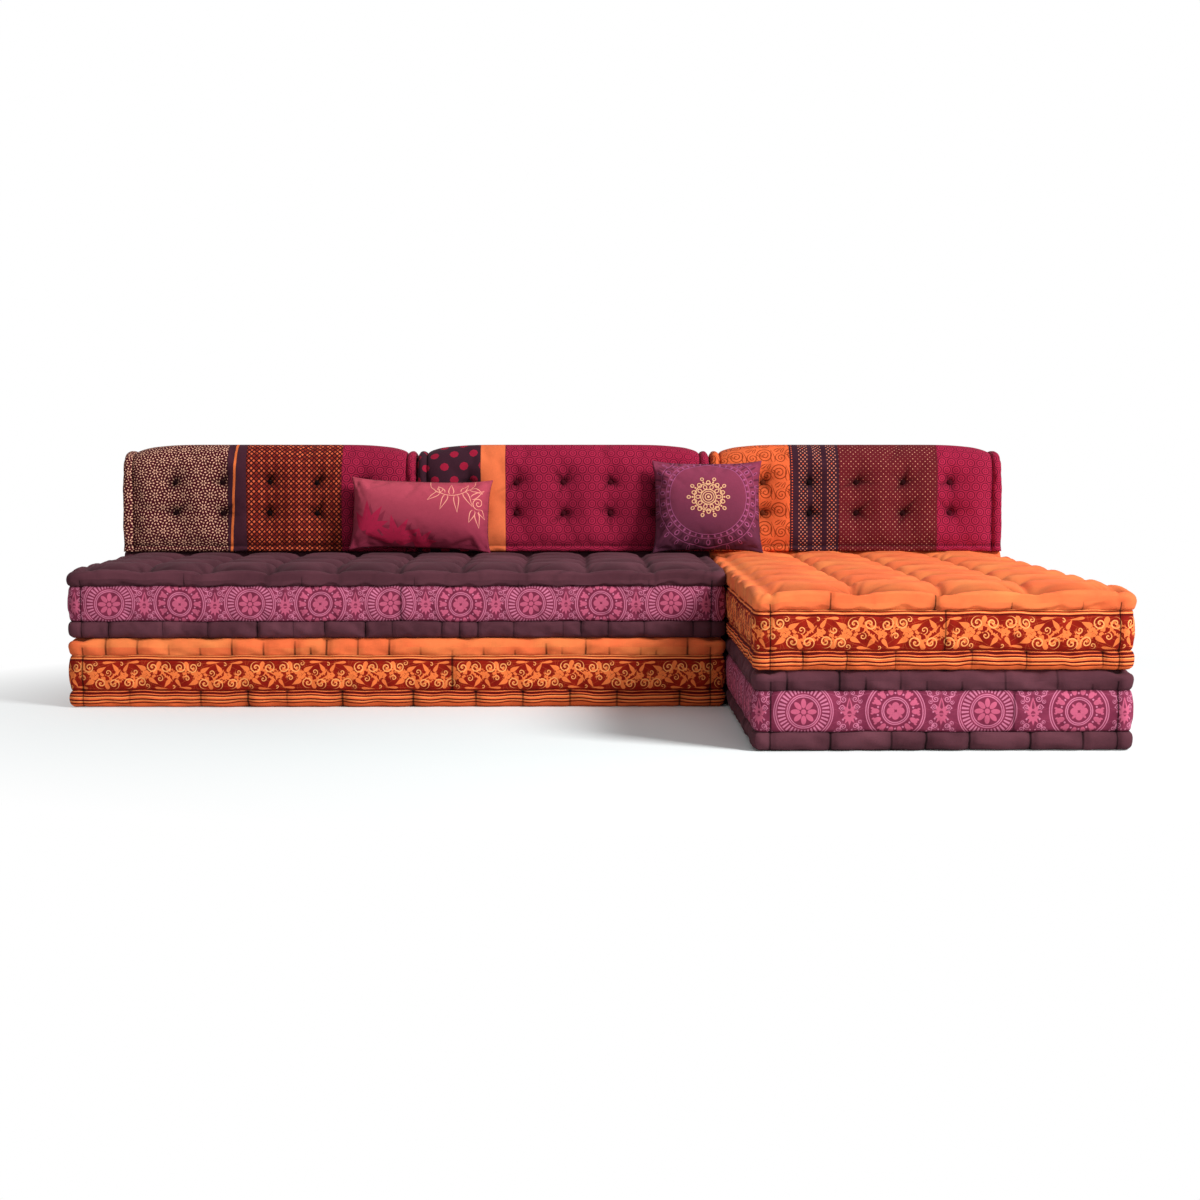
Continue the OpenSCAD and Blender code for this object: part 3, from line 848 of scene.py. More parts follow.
@dataclass
class BackCushion:
    """One bolster back: a tufted cover with a round top, a roll at each end and one along its foot.

    The fields that aren't listed are its sizes in metres.

    Attributes:
        name: Start of its nodes' names, and the name of its body.
        seed: Seed of its creases.
        columns: Tufts in each row.
        tuft_rows: Height of each row of tufts.
        arch_power: How square the round top is, less than 1.
        cells: Meshes between two tufts.
        rings: Size of each ring of cloth on an end face, as a share of its outline.
        outline: Distance from the axis and height of a button's rows, as shares of its radius.
        creases: Creases round the tufts.
    """

    name: str
    seed: int
    columns: int = 5
    tuft_rows: tuple[float, float] = (125 * MM, 224 * MM)
    arch_power: float = 0.62
    cells: int = 12
    rings: tuple[float, ...] = (0.7, 0.35, 0.08)
    outline: Rows = ((0.35, -0.2), (0.85, -0.1), (1.0, 0.14), (0.93, 0.36), (0.72, 0.53), (0.4, 0.62),
                     (0.12, 0.65))
    creases: Creases = Creases(100 * MM, 52 * MM, 7 * MM, full=4.6 * MM)
    end_roll: float = 32 * MM
    seam_in: float = 14 * MM
    shoulder: float = 63 * MM
    pitch: float = 152 * MM
    front_sink: float = 18 * MM
    rear_sink: float = 8 * MM
    face_middle: float = 150 * MM
    foot_seam: float = 20 * MM
    swell: float = 8 * MM
    button: float = 8.5 * MM
    net: Net = field(init=False)

    def __post_init__(self) -> None:
        """Reads the cushion's place and size from the frame."""
        low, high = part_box(f"{self.name}_cover")
        self.left, self.rear, self.foot = low.x, high.y, low.z
        self.length, self.thick, self.high = high.x - low.x, high.y - low.y, high.z - low.z

    def section(self) -> tuple[Array, Array]:
        """Draws the section from the front of the foot over the top to the rear.

        Returns:
            Forward distance and height of each row, and how firmly each is sewn.
        """
        deep = self.thick
        low_row, top_row = self.tuft_rows
        foot = [(-8, 0, 1), (-2.5, 3, 0), (0, 9.5, 0), (-2.5, 16, 0), (-6, 20, 1), (-2, 26, 0), (0, 36, 0)]
        rows = [(deep + f * MM, z * MM, held) for f, z, held in foot]
        rows += [(deep, z, 0) for z in np.linspace(36 * MM, low_row, 8)[1:]]
        rows += [(deep, z, 0) for z in np.linspace(low_row, top_row, 9)[1:]]
        turn = np.linspace(0, np.pi, 721)[1:-1]
        reach = np.abs(np.cos(turn)) ** self.arch_power * np.sign(np.cos(turn))
        rise = (self.high - top_row) * np.sin(turn) ** self.arch_power
        arch = np.column_stack([deep / 2 * (1 + reach), top_row + rise])
        gone = travelled(arch)
        wanted = np.linspace(0, gone[-1], 35)[1:-1]
        rows += [(np.interp(w, gone, arch[:, 0]), np.interp(w, gone, arch[:, 1]), 0) for w in wanted]
        rows += [(0, z, 0) for z in np.linspace(top_row, low_row, 9)]
        rows += [(0, z, 0) for z in np.linspace(low_row, 12 * MM, 9)[1:]]
        rows += [(2 * MM, 3 * MM, 0), (8 * MM, 0, 1)]
        rows += [(f, 0, 1) for f in np.linspace(8 * MM, deep - 8 * MM, 9)[1:-1]]
        data = np.array(rows, float)
        return data[:, :2], data[:, 2]

    def stations(self) -> tuple[Array, Array, Array]:
        """Places the sections along the cushion, from its left end face to its right one.

        Returns:
            Distance from the middle, how far each section is drawn in, and how firmly it is sewn.
        """
        half, radius = self.length / 2, self.end_roll / 2
        reach = self.pitch * self.columns / 2
        inner = np.linspace(-reach, reach, self.columns * self.cells + 1)
        seam = half - self.end_roll
        between = reach + (seam - reach) * np.array([0.22, 0.42, 0.6, 0.76, 0.9])
        share = (between - (seam - self.shoulder)) / self.shoulder
        turns = np.radians([168, 135, 100, 65, 35, 12])
        roll = half - radius + radius * np.cos(turns)
        roll_in = 3 * MM + radius * (1 - np.sin(turns)) * 0.95
        side = np.concatenate([between, [seam], roll, [half - 1 * MM]])
        between_in = 13 * MM * np.clip(share, 0, 1) ** 2.5
        side_in = np.concatenate([between_in, [self.seam_in + 3 * MM], roll_in, [26 * MM]])
        side_held = np.concatenate([np.zeros(len(between)), [1.0], np.zeros(len(roll)), [1.0]])
        at = np.concatenate([-side[::-1], inner, side])
        inset = np.concatenate([side_in[::-1], np.zeros(len(inner)), side_in])
        held = np.concatenate([side_held[::-1], np.zeros(len(inner)), side_held])
        return at, inset, held

    def tufts(self) -> Array:
        """Places the tufts.

        Returns:
            One row of distance from the middle and height for each.
        """
        columns = (np.arange(self.columns) - (self.columns - 1) / 2) * self.pitch
        x, z = np.meshgrid(columns, self.tuft_rows, indexing="ij")
        return np.stack([x.ravel(), z.ravel()], axis=-1)

    def sections(self, section: Array, at: Array, inset: Array) -> Array:
        """Draws every section in by its inset and lets the top droop toward the ends.

        Args:
            section: Forward distance and height of each row.
            at: Distance of each section from the middle.
            inset: How far each section is drawn in.

        Returns:
            Forward distance and height, by row and section.
        """
        along = np.roll(section, -1, axis=0) - np.roll(section, 1, axis=0)
        normal = np.column_stack([along[:, 1], -along[:, 0]])
        normal /= np.maximum(np.linalg.norm(normal, axis=1, keepdims=True), TINY)
        shape = section[:, None, :] - normal[:, None, :] * inset[None, :, None]
        low = section[:, 1] < 4 * MM
        shape[low, :, 1] = section[low, 1][:, None]
        shape[:, :, 1] = np.clip(shape[:, :, 1], 0, None)
        shape[:, :, 0] = np.clip(shape[:, :, 0], 1 * MM, self.thick - 1 * MM)
        top_row = self.tuft_rows[1]
        over = np.clip((shape[:, :, 1] - top_row) / (self.high - top_row), 0, 1)
        droop = smooth((np.abs(at) - self.length / 2 + 300 * MM) / (268 * MM)) ** 1.6
        shape[:, :, 1] += over * (3 * MM - 15 * MM * droop)
        return shape

    def build(self) -> None:
        """Lays out the cover's cloth round the section and over both end faces."""
        section, row_held = self.section()
        at, inset, column_held = self.stations()
        shape = self.sections(section, at, inset)
        half, rim = self.length / 2, shape[:, 0, :]
        middle = np.array([self.thick / 2, self.face_middle])
        caps = [(middle + (rim - middle) * share)[:, None, :] for share in self.rings]
        shape = np.concatenate([*caps[::-1], shape, *caps], axis=1)
        cap_at = half - np.array([3.0, 3.5, 3.5]) * MM
        cap_held = np.full(len(caps), 0.3)
        at = np.concatenate([-cap_at[::-1], at, cap_at])
        column_held = np.concatenate([cap_held, column_held, cap_held])
        rows, count = len(section), len(at)
        points = np.stack([np.broadcast_to(at, (rows, count)), -shape[:, :, 0], shape[:, :, 1]], axis=-1)
        held = np.maximum(row_held[:, None], column_held[None, :])
        fold, pinch = np.zeros((2, rows, count))
        # Painted shade along the seams of the end rolls and of the foot roll.
        pinch[:, np.abs(np.abs(at) - half + self.end_roll) < 0.1 * MM] = 1.3
        pinch[np.abs(section[:, 1] - self.foot_seam) < 0.1 * MM, :] = 1.1
        for x, z in self.tufts():
            for front in (True, False):
                knot = self.row_at(section, z, front), int(np.abs(at - x).argmin())
                held[knot], fold[knot] = 1.0, 1.0
        quads = grid_quads(rows, count, closed=True)
        cloth = self.flat_cloth(section, at, rim, middle, shape.reshape(-1, 2)[quads])
        self.net = Net(points.reshape(-1, 3), quads, cloth, np.zeros(len(quads), int), held.reshape(-1),
                       pinch.reshape(-1), fold.reshape(-1))
        self.press_tufts()

    def flat_cloth(self, section: Array, at: Array, rim: Array, middle: Array, faces: Array) -> Array:
        """Lays the cover flat, with the cloth of the end faces beside it.

        Args:
            section: Forward distance and height of each row.
            at: Distance of each column from the middle.
            rim: Outline of the end face.
            middle: Middle of the end face.
            faces: Forward distance and height of each mesh corner.

        Returns:
            Place of each mesh corner on the flat cloth.
        """
        rows, count = len(section), len(at)
        level = travelled(np.vstack([section, section[:1]]))
        across = self.cloth_across(at, rim, middle)
        r, c = np.repeat(np.arange(rows), count - 1), np.tile(np.arange(count - 1), rows)
        cloth = flat_corners(across[c], across[c + 1], level[r], level[r + 1])
        facing, beside = len(self.rings) + 2, 20 * MM
        faced = (c < facing) | (c >= count - 1 - facing)
        faces[:, :, 0] += np.where(c < facing, -self.thick - beside, self.length + beside)[:, None]
        return np.where(faced[:, None, None], faces, cloth)

    def press_tufts(self) -> None:
        """Presses the tufts into the front and the rear, and paints shade into their hollows."""
        net = self.net
        for x, z in self.tufts():
            away = np.hypot(net.points[:, 0] - x, net.points[:, 2] - z)
            front = net.points[:, 1] < -self.thick / 2
            # Painted shade round each tuft, dark at its middle and softer further out.
            net.pinch = np.maximum(net.pinch, 1.3 * bell(away, 12 * MM) + 0.35 * bell(away, 32 * MM))
            dimple = 0.55 * bell(away, 16 * MM) + 0.45 * bell(away, 42 * MM)
            net.points[:, 1] += np.where(front, self.front_sink, -self.rear_sink) * dimple

    @staticmethod
    def row_at(section: Array, height: float, front: bool) -> int:
        """Finds the section's row at a height on the front or the rear.

        Args:
            section: Forward distance and height of each row.
            height: Height in metres.
            front: Whether the row is on the front.

        Returns:
            Number of the row.
        """
        deep = section[:, 0].max()
        side = section[:, 0] > deep / 2 if front else section[:, 0] < deep / 2
        return int(np.where(side, np.abs(section[:, 1] - height), 1.0).argmin())

    def cloth_across(self, at: Array, rim: Array, middle: Array) -> Array:
        """Measures the cloth across the cushion, on over its end faces.

        Args:
            at: Distance of each column from the middle.
            rim: Outline of the end face.
            middle: Middle of the end face.

        Returns:
            Distance of each column from the left end, below nothing on the left face.
        """
        radius = float(np.linalg.norm(rim - middle, axis=1).mean())
        past = (1 - np.array(self.rings)) * radius
        across = at + self.length / 2
        across[:len(past)] = -past[::-1]
        across[-len(past):] = self.length + past
        return across

    def finish(self, cover: bpy.types.Material, button: bpy.types.Material, slots: tuple[str, str]) -> None:
        """Dresses the filled cover and adds its covered buttons.

        Args:
            cover: Finish of the cover.
            button: Finish of the buttons.
            slots: Material slots of the cover and the buttons.
        """
        place = np.array([self.left + self.length / 2, self.rear, self.foot])
        self.net.points += place
        piece = self.net.piece(f"{self.name}_quilted_cover")
        places = piece.points
        local = places - place
        sink = self.creases.press(local[:, [0, 2]], self.tufts(), self.seed) * (local[:, 1] < -self.thick / 2)
        places[:, 1] += sink
        # Painted shade in the pressed creases round the tufts.
        piece.paint_crease_shade(sink, self.creases.full)
        places[:, 0] = np.clip(places[:, 0], self.left, self.left + self.length)
        places[:, 1] = np.clip(places[:, 1], self.rear - self.thick - self.swell, self.rear + 2 * MM)
        top = self.foot + self.high
        over = np.maximum(places[:, 2] - top, 0)
        places[:, 2] = np.where(over > 0, top + self.swell * np.tanh(over / self.swell), places[:, 2])
        places[:, 2] = np.maximum(places[:, 2], self.foot)
        piece.points = places
        piece.close()
        piece.hand_over(self.name, [f"{self.name}_cover"], slots[0], cover)
        self.add_buttons(button, slots[1])

    def add_buttons(self, dress: bpy.types.Material, slot: str) -> None:
        """Makes the cloth-covered buttons in the front and rear tufts.

        Args:
            dress: Their finish.
            slot: Their material slot.
        """
        low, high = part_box(f"{self.name}_buttons")
        sides, seat = 20, 7.3 * MM
        turns = np.arange(sides) * 2 * np.pi / sides
        button = self.button * np.array([(-r * math.cos(t), h, r * math.sin(t))
                                         for r, h in self.outline for t in turns])
        wrap = np.arange(len(self.outline) - 1)[:, None] * sides + [sides - 1, 0, sides, 2 * sides - 1]
        faces = np.vstack([grid_quads(len(self.outline), sides), wrap])
        points, quads, cloth = [], [], []
        for way, depth in ((-1, low.y + seat), (1, high.y - seat)):
            for x, z in self.tufts():
                knots = button * [way, way, 1] + [self.left + self.length / 2 + x, depth, self.foot + z]
                quads.append(faces + len(points) * len(knots))
                cloth.append((knots[:, [0, 2]] - [self.left, self.foot])[faces])
                points.append(knots)
        blank = np.zeros(len(points) * len(button))
        part = np.zeros(len(quads) * len(faces), int)
        net = Net(np.vstack(points), np.vstack(quads), np.vstack(cloth), part, blank, blank, blank)
        piece = net.piece(f"{self.name}_covered_buttons")
        piece.close()
        piece.hand_over(self.name, [f"{self.name}_buttons"], slot, dress, fill=None)


@dataclass
class Pillow:
    """One loose pillow: two panels sewn together round their rim and filled.

    Attributes:
        name: Start of its nodes' names, and the name of its body.
        wide: Width from corner to corner in metres.
        high: Height from corner to corner in metres.
        turn: Turn in its own plane in degrees.
        seed: Seed of its puckers.
        thick: Thickness in metres.
        draw: How far the sides draw in between the corners.
        lean: How far it leans back in degrees.
        cells: Meshes across.
        creases: Creases that run in from the corners.
    """

    name: str
    wide: float
    high: float
    turn: float
    seed: int
    thick: float = 125 * MM
    draw: float = 12 * MM
    lean: float = 14
    cells: int = 44
    creases: Creases = Creases(140 * MM, 120 * MM, 5 * MM)
    net: Net = field(init=False)

    def build(self) -> None:
        """Lays out the two panels, joined at their rim."""
        n = self.cells + 1
        share = 0.5 * np.sin(np.linspace(-np.pi / 2, np.pi / 2, n)) + 0.5 * np.linspace(-1, 1, n)
        u, v = np.meshgrid(share, share, indexing="ij")
        x = u * (self.wide / 2 - self.draw * (1 - np.abs(v) ** 3.5))
        y = v * (self.high / 2 - self.draw * (1 - np.abs(u) ** 3.5))
        crown = (np.sqrt(np.maximum(1 - u ** 2, 0)) * np.sqrt(np.maximum(1 - v ** 2, 0))) ** 0.8
        front = np.stack([x, y, crown * self.thick * 0.42], axis=-1).reshape(-1, 3)
        rim = ((np.abs(u) > 0.9999) | (np.abs(v) > 0.9999)).reshape(-1)
        inner, edge = np.nonzero(~rim)[0], np.nonzero(rim)[0]
        rear_number = np.arange(n * n)
        rear_number[inner] = n * n + np.arange(len(inner))
        points = np.vstack([front, front[inner] * [1, 1, -1]])
        quads = grid_quads(n, n)[:, [0, 3, 2, 1]]
        flat = np.stack([u * self.wide / 2, v * self.high / 2], axis=-1).reshape(-1, 2)
        cloth = np.concatenate([flat[quads], flat[quads[:, ::-1]]])
        both = np.vstack([quads, rear_number[quads][:, ::-1]])
        part = np.repeat([Part.TOP.value, Part.BOTTOM.value], len(quads))
        held, pinch, fold = np.zeros((3, len(points)))
        held[edge] = 1.0
        chance = np.random.default_rng(self.seed)
        # Painted shade at random puckers of the rim, and in a soft band along the whole rim.
        pinch[edge] = np.where(chance.random(len(edge)) < 0.3, chance.uniform(0.2, 0.6, len(edge)), 0)
        rim_gap = np.minimum(self.wide / 2 * (1 - np.abs(u)), self.high / 2 * (1 - np.abs(v))).reshape(-1)
        soft = 0.28 * bell(rim_gap, 9 * MM)
        pinch = np.maximum(pinch, np.concatenate([soft, soft[inner]]))
        self.net = Net(points, both, cloth, part, held, pinch, fold)

    def finish(self, dress: bpy.types.Material, slot: str) -> None:
        """Brings the filled pillow to its size and leans it on the back.

        Args:
            dress: Its finish.
            slot: Its material slot.
        """
        points = self.net.points
        size = points.max(axis=0) - points.min(axis=0)
        middle = (points.max(axis=0) + points.min(axis=0)) / 2
        points = (points - middle) * (np.array([self.wide, self.high, self.thick]) / size)
        corners = np.array([(-1, -1), (1, -1), (1, 1), (-1, 1)]) * [self.wide, self.high] * 0.47
        sink = self.creases.press(points[:, :2], corners, self.seed + 100)
        points[:, 2] -= np.sign(points[:, 2]) * np.minimum(sink, np.abs(points[:, 2]) * 0.4)
        turns = [Matrix.Rotation(math.radians(angle), 3, axis)
                 for angle, axis in ((-self.lean, "X"), (self.turn, "Y"), (90, "X"))]
        points = points @ np.array(reduce(Matrix.__matmul__, turns)).T
        low, high = node_box(f"{self.name}_front", f"{self.name}_rear")
        points += [(low[0] + high[0]) / 2, high[1] - points[:, 1].max(), low[2] - points[:, 2].min()]
        self.net.points = points
        for part, node in ((Part.TOP, "front"), (Part.BOTTOM, "rear")):
            piece = self.net.piece(f"{self.name}_{node}_panel", self.net.part == part.value)
            piece.close()
            piece.hand_over(self.name, [f"{self.name}_{node}"], slot, dress, fill=0.75)


def srgb(red: int, green: int, blue: int) -> Colour:
    """Turns a colour read off the photograph into the linear colour that a shader takes.

    Args:
        red: Red from 0 to 255.
        green: Green from 0 to 255.
        blue: Blue from 0 to 255.

    Returns:
        The linear colour.
    """
    shares = [value / 255 for value in (red, green, blue)]
    linear = [s / 12.92 if s <= 0.04045 else ((s + 0.055) / 1.055) ** 2.4 for s in shares]
    return linear[0], linear[1], linear[2]


@dataclass(frozen=True)
class Value:
    """A number worked out for each place on a surface, as a socket with arithmetic.

    Attributes:
        graph: Graph that the socket belongs to.
        source: The socket.
    """

    graph: "Graph"
    source: bpy.types.NodeSocket

    def __add__(self, other: "Value | float") -> "Value":
        """Adds."""
        return self.graph.math("ADD", self, other)

    __radd__ = __add__

    def __sub__(self, other: "Value | float") -> "Value":
        """Subtracts."""
        return self.graph.math("SUBTRACT", self, other)

    def __rsub__(self, other: float) -> "Value":
        """Subtracts from a number."""
        return self.graph.math("SUBTRACT", other, self)

    def __mul__(self, other: "Value | float") -> "Value":
        """Multiplies."""
        return self.graph.math("MULTIPLY", self, other)

    __rmul__ = __mul__

    def __truediv__(self, other: "Value | float") -> "Value":
        """Divides."""
        return self.graph.math("DIVIDE", self, other)

    def __rtruediv__(self, other: float) -> "Value":
        """Divides a number."""
        return self.graph.math("DIVIDE", other, self)

    def __pow__(self, other: float) -> "Value":
        """Raises to a power."""
        return self.graph.math("POWER", self, other)

    def __mod__(self, other: float) -> "Value":
        """Takes what is left after division."""
        return self.graph.math("FLOORED_MODULO", self, other)

    def __abs__(self) -> "Value":
        """Takes the size without the sign."""
        return self.graph.math("ABSOLUTE", self)

    def __neg__(self) -> "Value":
        """Turns the sign round."""
        return self * -1.0

    def sin(self) -> "Value":
        """Takes the sine of an angle in radians."""
        return self.graph.math("SINE", self)

    def cos(self) -> "Value":
        """Takes the cosine of an angle in radians."""
        return self.graph.math("COSINE", self)

    def root(self) -> "Value":
        """Takes the square root."""
        return self.graph.math("SQRT", self)

    def floor(self) -> "Value":
        """Rounds down."""
        return self.graph.math("FLOOR", self)

    def at_least(self, other: "Value | float") -> "Value":
        """Takes the larger of two numbers."""
        return self.graph.math("MAXIMUM", self, other)

    def at_most(self, other: "Value | float") -> "Value":
        """Takes the smaller of two numbers."""
        return self.graph.math("MINIMUM", self, other)

    def clamped(self) -> "Value":
        """Keeps a number from 0 to 1."""
        return self.at_least(0.0).at_most(1.0)

    def near(self, pitch: float) -> "Value":
        """Measures how far away the nearest whole multiple of a pitch is."""
        return self.graph.math("PINGPONG", self, pitch / 2)

    def folded(self, pitch: float) -> "Value":
        """Measures from the nearest whole multiple of a pitch, with its sign."""
        return (self + pitch / 2) % pitch - pitch / 2

    def edge(self, soft: float = EDGE) -> "Value":
        """Turns a distance inside a shape into a share of 1 inside and 0 outside."""
        return self.graph.math("MULTIPLY_ADD", self, 1 / soft, 0.5, clamp=True)

    def within(self, limit: float) -> "Value":
        """Marks where a distance in metres is less than so many millimetres."""
        return (limit * MM - self).edge()


@dataclass
class Graph:
    """A tree of shader nodes that is written as arithmetic.

    Attributes:
        tree: The node tree.
    """

    tree: bpy.types.NodeTree

    @classmethod
    def of(cls, owner: bpy.types.Material | bpy.types.World) -> "Graph":
        """Empties the nodes of a material or a world.

        Args:
            owner: The material or the world.

        Returns:
            The graph of its empty tree.
        """
        owner.use_nodes = True
        owner.node_tree.nodes.clear()
        return cls(owner.node_tree)

    def node(self, kind: str, settings: dict[str, Any] | None = None,
             inputs: dict[str | int, Any] | None = None) -> bpy.types.Node:
        """Adds a node.

        Args:
            kind: Type of the node.
            settings: Its settings, which are set first.
            inputs: What goes into its sockets, by name or number.

        Returns:
            The node.
        """
        made = self.tree.nodes.new(kind)
        for key, value in (settings or {}).items():
            setattr(made, key, value)
        for key, value in (inputs or {}).items():
            self.feed(made.inputs[key], value)
        return made

    def feed(self, socket: bpy.types.NodeSocket, value: Any) -> None:
        """Links a value to a socket, or sets the socket to a constant.

        Args:
            socket: The socket.
            value: A value, a socket or a constant.
        """
        source = value.source if isinstance(value, Value) else value
        if isinstance(source, bpy.types.NodeSocket):
            self.tree.links.new(source, socket)
        else:
            socket.default_value = source

    def math(self, operation: str, *values: Value | float, clamp: bool = False) -> Value:
        """Adds one step of arithmetic.

        Args:
            operation: Name of the step.
            values: What goes in.
            clamp: Whether the result is kept from 0 to 1.

        Returns:
            The result.
        """
        settings = {"operation": operation, "use_clamp": clamp}
        made = self.node("ShaderNodeMath", settings, dict(enumerate(values)))
        return Value(self, made.outputs[0])

    def mix(self, share: Value | float, first: Any, second: Any) -> bpy.types.NodeSocket:
        """Mixes two colours.

        Args:
            share: Share of the second colour.
            first: Colour where the share is 0.
            second: Colour where the share is 1.

        Returns:
            The mixed colour.
        """
        made = self.node("ShaderNodeMix", {"data_type": "RGBA"},
                         {0: share, 6: self.ink(first), 7: self.ink(second)})
        return made.outputs[2]

    def shade(self, colour: Any, share: Value) -> bpy.types.NodeSocket:
        """Multiplies a colour by a number."""
        scaled = self.node("ShaderNodeVectorMath", {"operation": "SCALE"}, {0: colour, "Scale": share})
        return scaled.outputs[0]

    @staticmethod
    def ink(colour: Any) -> Any:
        """Gives a constant colour its fourth number."""
        return colour if isinstance(colour, bpy.types.NodeSocket) else (*colour, 1.0)

    def noise(self, vector: Any, scale: float, detail: float = 2.0) -> Value:
        """Adds a cloudy noise, about 0.5 on the whole, with finer layers for its detail."""
        made = self.node("ShaderNodeTexNoise", {}, {"Vector": vector, "Scale": scale, "Detail": detail})
        return Value(self, made.outputs["Fac"])

    def ray(self, kind: str) -> Value:
        """Tells whether a ray is of one kind."""
        return Value(self, self.node("ShaderNodeLightPath").outputs[f"Is {kind} Ray"])

    def attribute(self, name: str) -> Value:
        """Reads one of the marks that the meshes carry."""
        return Value(self, self.node("ShaderNodeAttribute", {"attribute_name": name}).outputs["Fac"])

    def spot(self, x: Any, y: Any) -> bpy.types.NodeSocket:
        """Joins two numbers into a place."""
        return self.node("ShaderNodeCombineXYZ", {}, {0: x, 1: y}).outputs[0]

    def split(self, vector: bpy.types.NodeSocket) -> "Place":
        """Takes the first two numbers of a vector as a place."""
        numbers = self.node("ShaderNodeSeparateXYZ", {}, {0: vector}).outputs
        return Place(Value(self, numbers[0]), Value(self, numbers[1]))

    def matt(self, colour: Any, roughness: float, height: Value, relief: dict[str, float],
             more: dict[str, float]) -> None:
        """Ends the graph of a material in one matt shader.

        Args:
            colour: Its colour.
            roughness: How matt it is.
            height: How high the surface stands.
            relief: Strength and distance of the bump.
            more: Other constants of the shader, by socket.
        """
        bump = self.node("ShaderNodeBump", {}, {**relief, "Height": height})
        shader = self.node("ShaderNodeBsdfPrincipled", {}, {
            "Base Color": colour, "Roughness": roughness, "Normal": bump.outputs[0], **more})
        self.node("ShaderNodeOutputMaterial", {}, {0: shader.outputs[0]})


@dataclass(frozen=True)
class Place:
    """A place on flat cloth, with the marks of printed patterns.

    A mark is 1 inside and 0 outside, and takes its places and sizes in millimetres.

    Attributes:
        x: Across, in metres.
        y: Along, in metres.
    """

    x: Value
    y: Value

    def moved(self, x: float, y: float) -> "Place":
        """Measures from another point, in millimetres."""
        return Place(self.x - x * MM, self.y - y * MM)

    def turned(self, degrees: float) -> "Place":
        """Measures on axes that are turned by an angle."""
        c, s = math.cos(math.radians(degrees)), math.sin(math.radians(degrees))
        return Place(self.x * c + self.y * s, self.y * c - self.x * s)

    def polar(self) -> "Polar":
        """Measures by distance and angle."""
        return Polar((self.x * self.x + self.y * self.y).root(), self.x.graph.math("ARCTAN2", self.y, self.x))

    def leaf(self, x: float, y: float, degrees: float, length: float, half: float) -> Value:
        """Draws a leaf that is round at its stalk and pointed at its tip.

        Args:
            x: Place of the stalk across.
            y: Place of the stalk along.
            degrees: Where the tip points.
            length: Its length.
            half: Half its width.

        Returns:
            The mark.
        """
        local = self.moved(x, y).turned(degrees)
        share = (local.x / (length * MM)).clamped()
        return ((share.root() * math.pi).sin() * (half * MM) - abs(local.y)).edge()

    def outlined(self, x: float, y: float, degrees: float, length: float, half: float, core: float) -> Value:
        """Draws the outline of a leaf round an empty one, whose half width is the core."""
        return self.leaf(x, y, degrees, length, half) - self.leaf(x, y, degrees, length * 0.94, core)

    def scroll(self, x: float, y: float, radius: float, pitch: float, half: float, hand: int = 1,
               start: float = 0.0) -> Value:
        """Draws a spiral.

        Args:
            x: Place of the middle across.
            y: Place of the middle along.
            radius: Outer radius.
            pitch: Distance between turns.
            half: Half the width of the line.
            hand: 1 or -1, the way that it winds.
            start: Angle that it starts from, in degrees.

        Returns:
            The mark.
        """
        at = self.moved(x, y).polar()
        turns = at.r / (pitch * MM) - (at.a - math.radians(start)) * (hand / (2 * math.pi))
        return (turns.near(1.0) * (pitch * MM)).within(half) * at.r.within(radius)

    def disc(self, x: float, y: float, radius: float) -> Value:
        """Draws a dot round a point."""
        return self.moved(x, y).polar().r.within(radius)

    def staggered(self, across: float, along: float) -> "Place":
        """Measures from the nearest point of a net in which every other row is moved by half.

        Args:
            across: Distance between points in a row, in millimetres.
            along: Distance between rows, in millimetres.

        Returns:
            The place from the nearest point.
        """
        across, along = across * MM, along * MM
        row = (self.y / along + 0.5).floor()
        return Place((self.x + (row % 2.0) * (across / 2)).folded(across), self.y.folded(along))


@dataclass(frozen=True)
class Polar:
    """Distance and angle from a middle, with the round marks of printed patterns.

    A mark is 1 inside and 0 outside, and takes its sizes in millimetres.

    Attributes:
        r: Distance in metres.
        a: Angle in radians.
    """

    r: Value
    a: Value

    def ring(self, radius: float, half: float) -> Value:
        """Draws a ring whose line has half a width."""
        return abs(self.r - radius * MM).within(half)

    def petals(self, count: int, start: float, end: float, half: float, turn: float = 0.0) -> Value:
        """Draws a ring of oval petals.

        Args:
            count: Number of petals.
            start: Distance where a petal starts.
            end: Distance where it ends.
            half: Half its width.
            turn: Share of a petal's pitch that the ring is turned by.

        Returns:
            The mark.
        """
        start, end, half = start * MM, end * MM, half * MM
        pitch = 2 * math.pi / count
        off = (self.a + turn * pitch).near(pitch)
        along, across = self.r * off.cos(), self.r * off.sin()
        lean = ((along - (start + end) / 2) / ((end - start) / 2)) ** 2 + (across / half) ** 2
        return ((1 - lean) * (half / 2)).edge()

    def hollow(self, count: int, outer: Oval, inner: Oval, turn: float = 0.0) -> Value:
        """Draws the outlines of petals by start, end and half width, round empty ones inside them."""
        return self.petals(count, *outer, turn) - self.petals(count, *inner, turn)


def union(*marks: Value) -> Value:
    """Joins drawn marks into one that is 1 inside any of them."""
    return reduce(Value.at_least, marks)


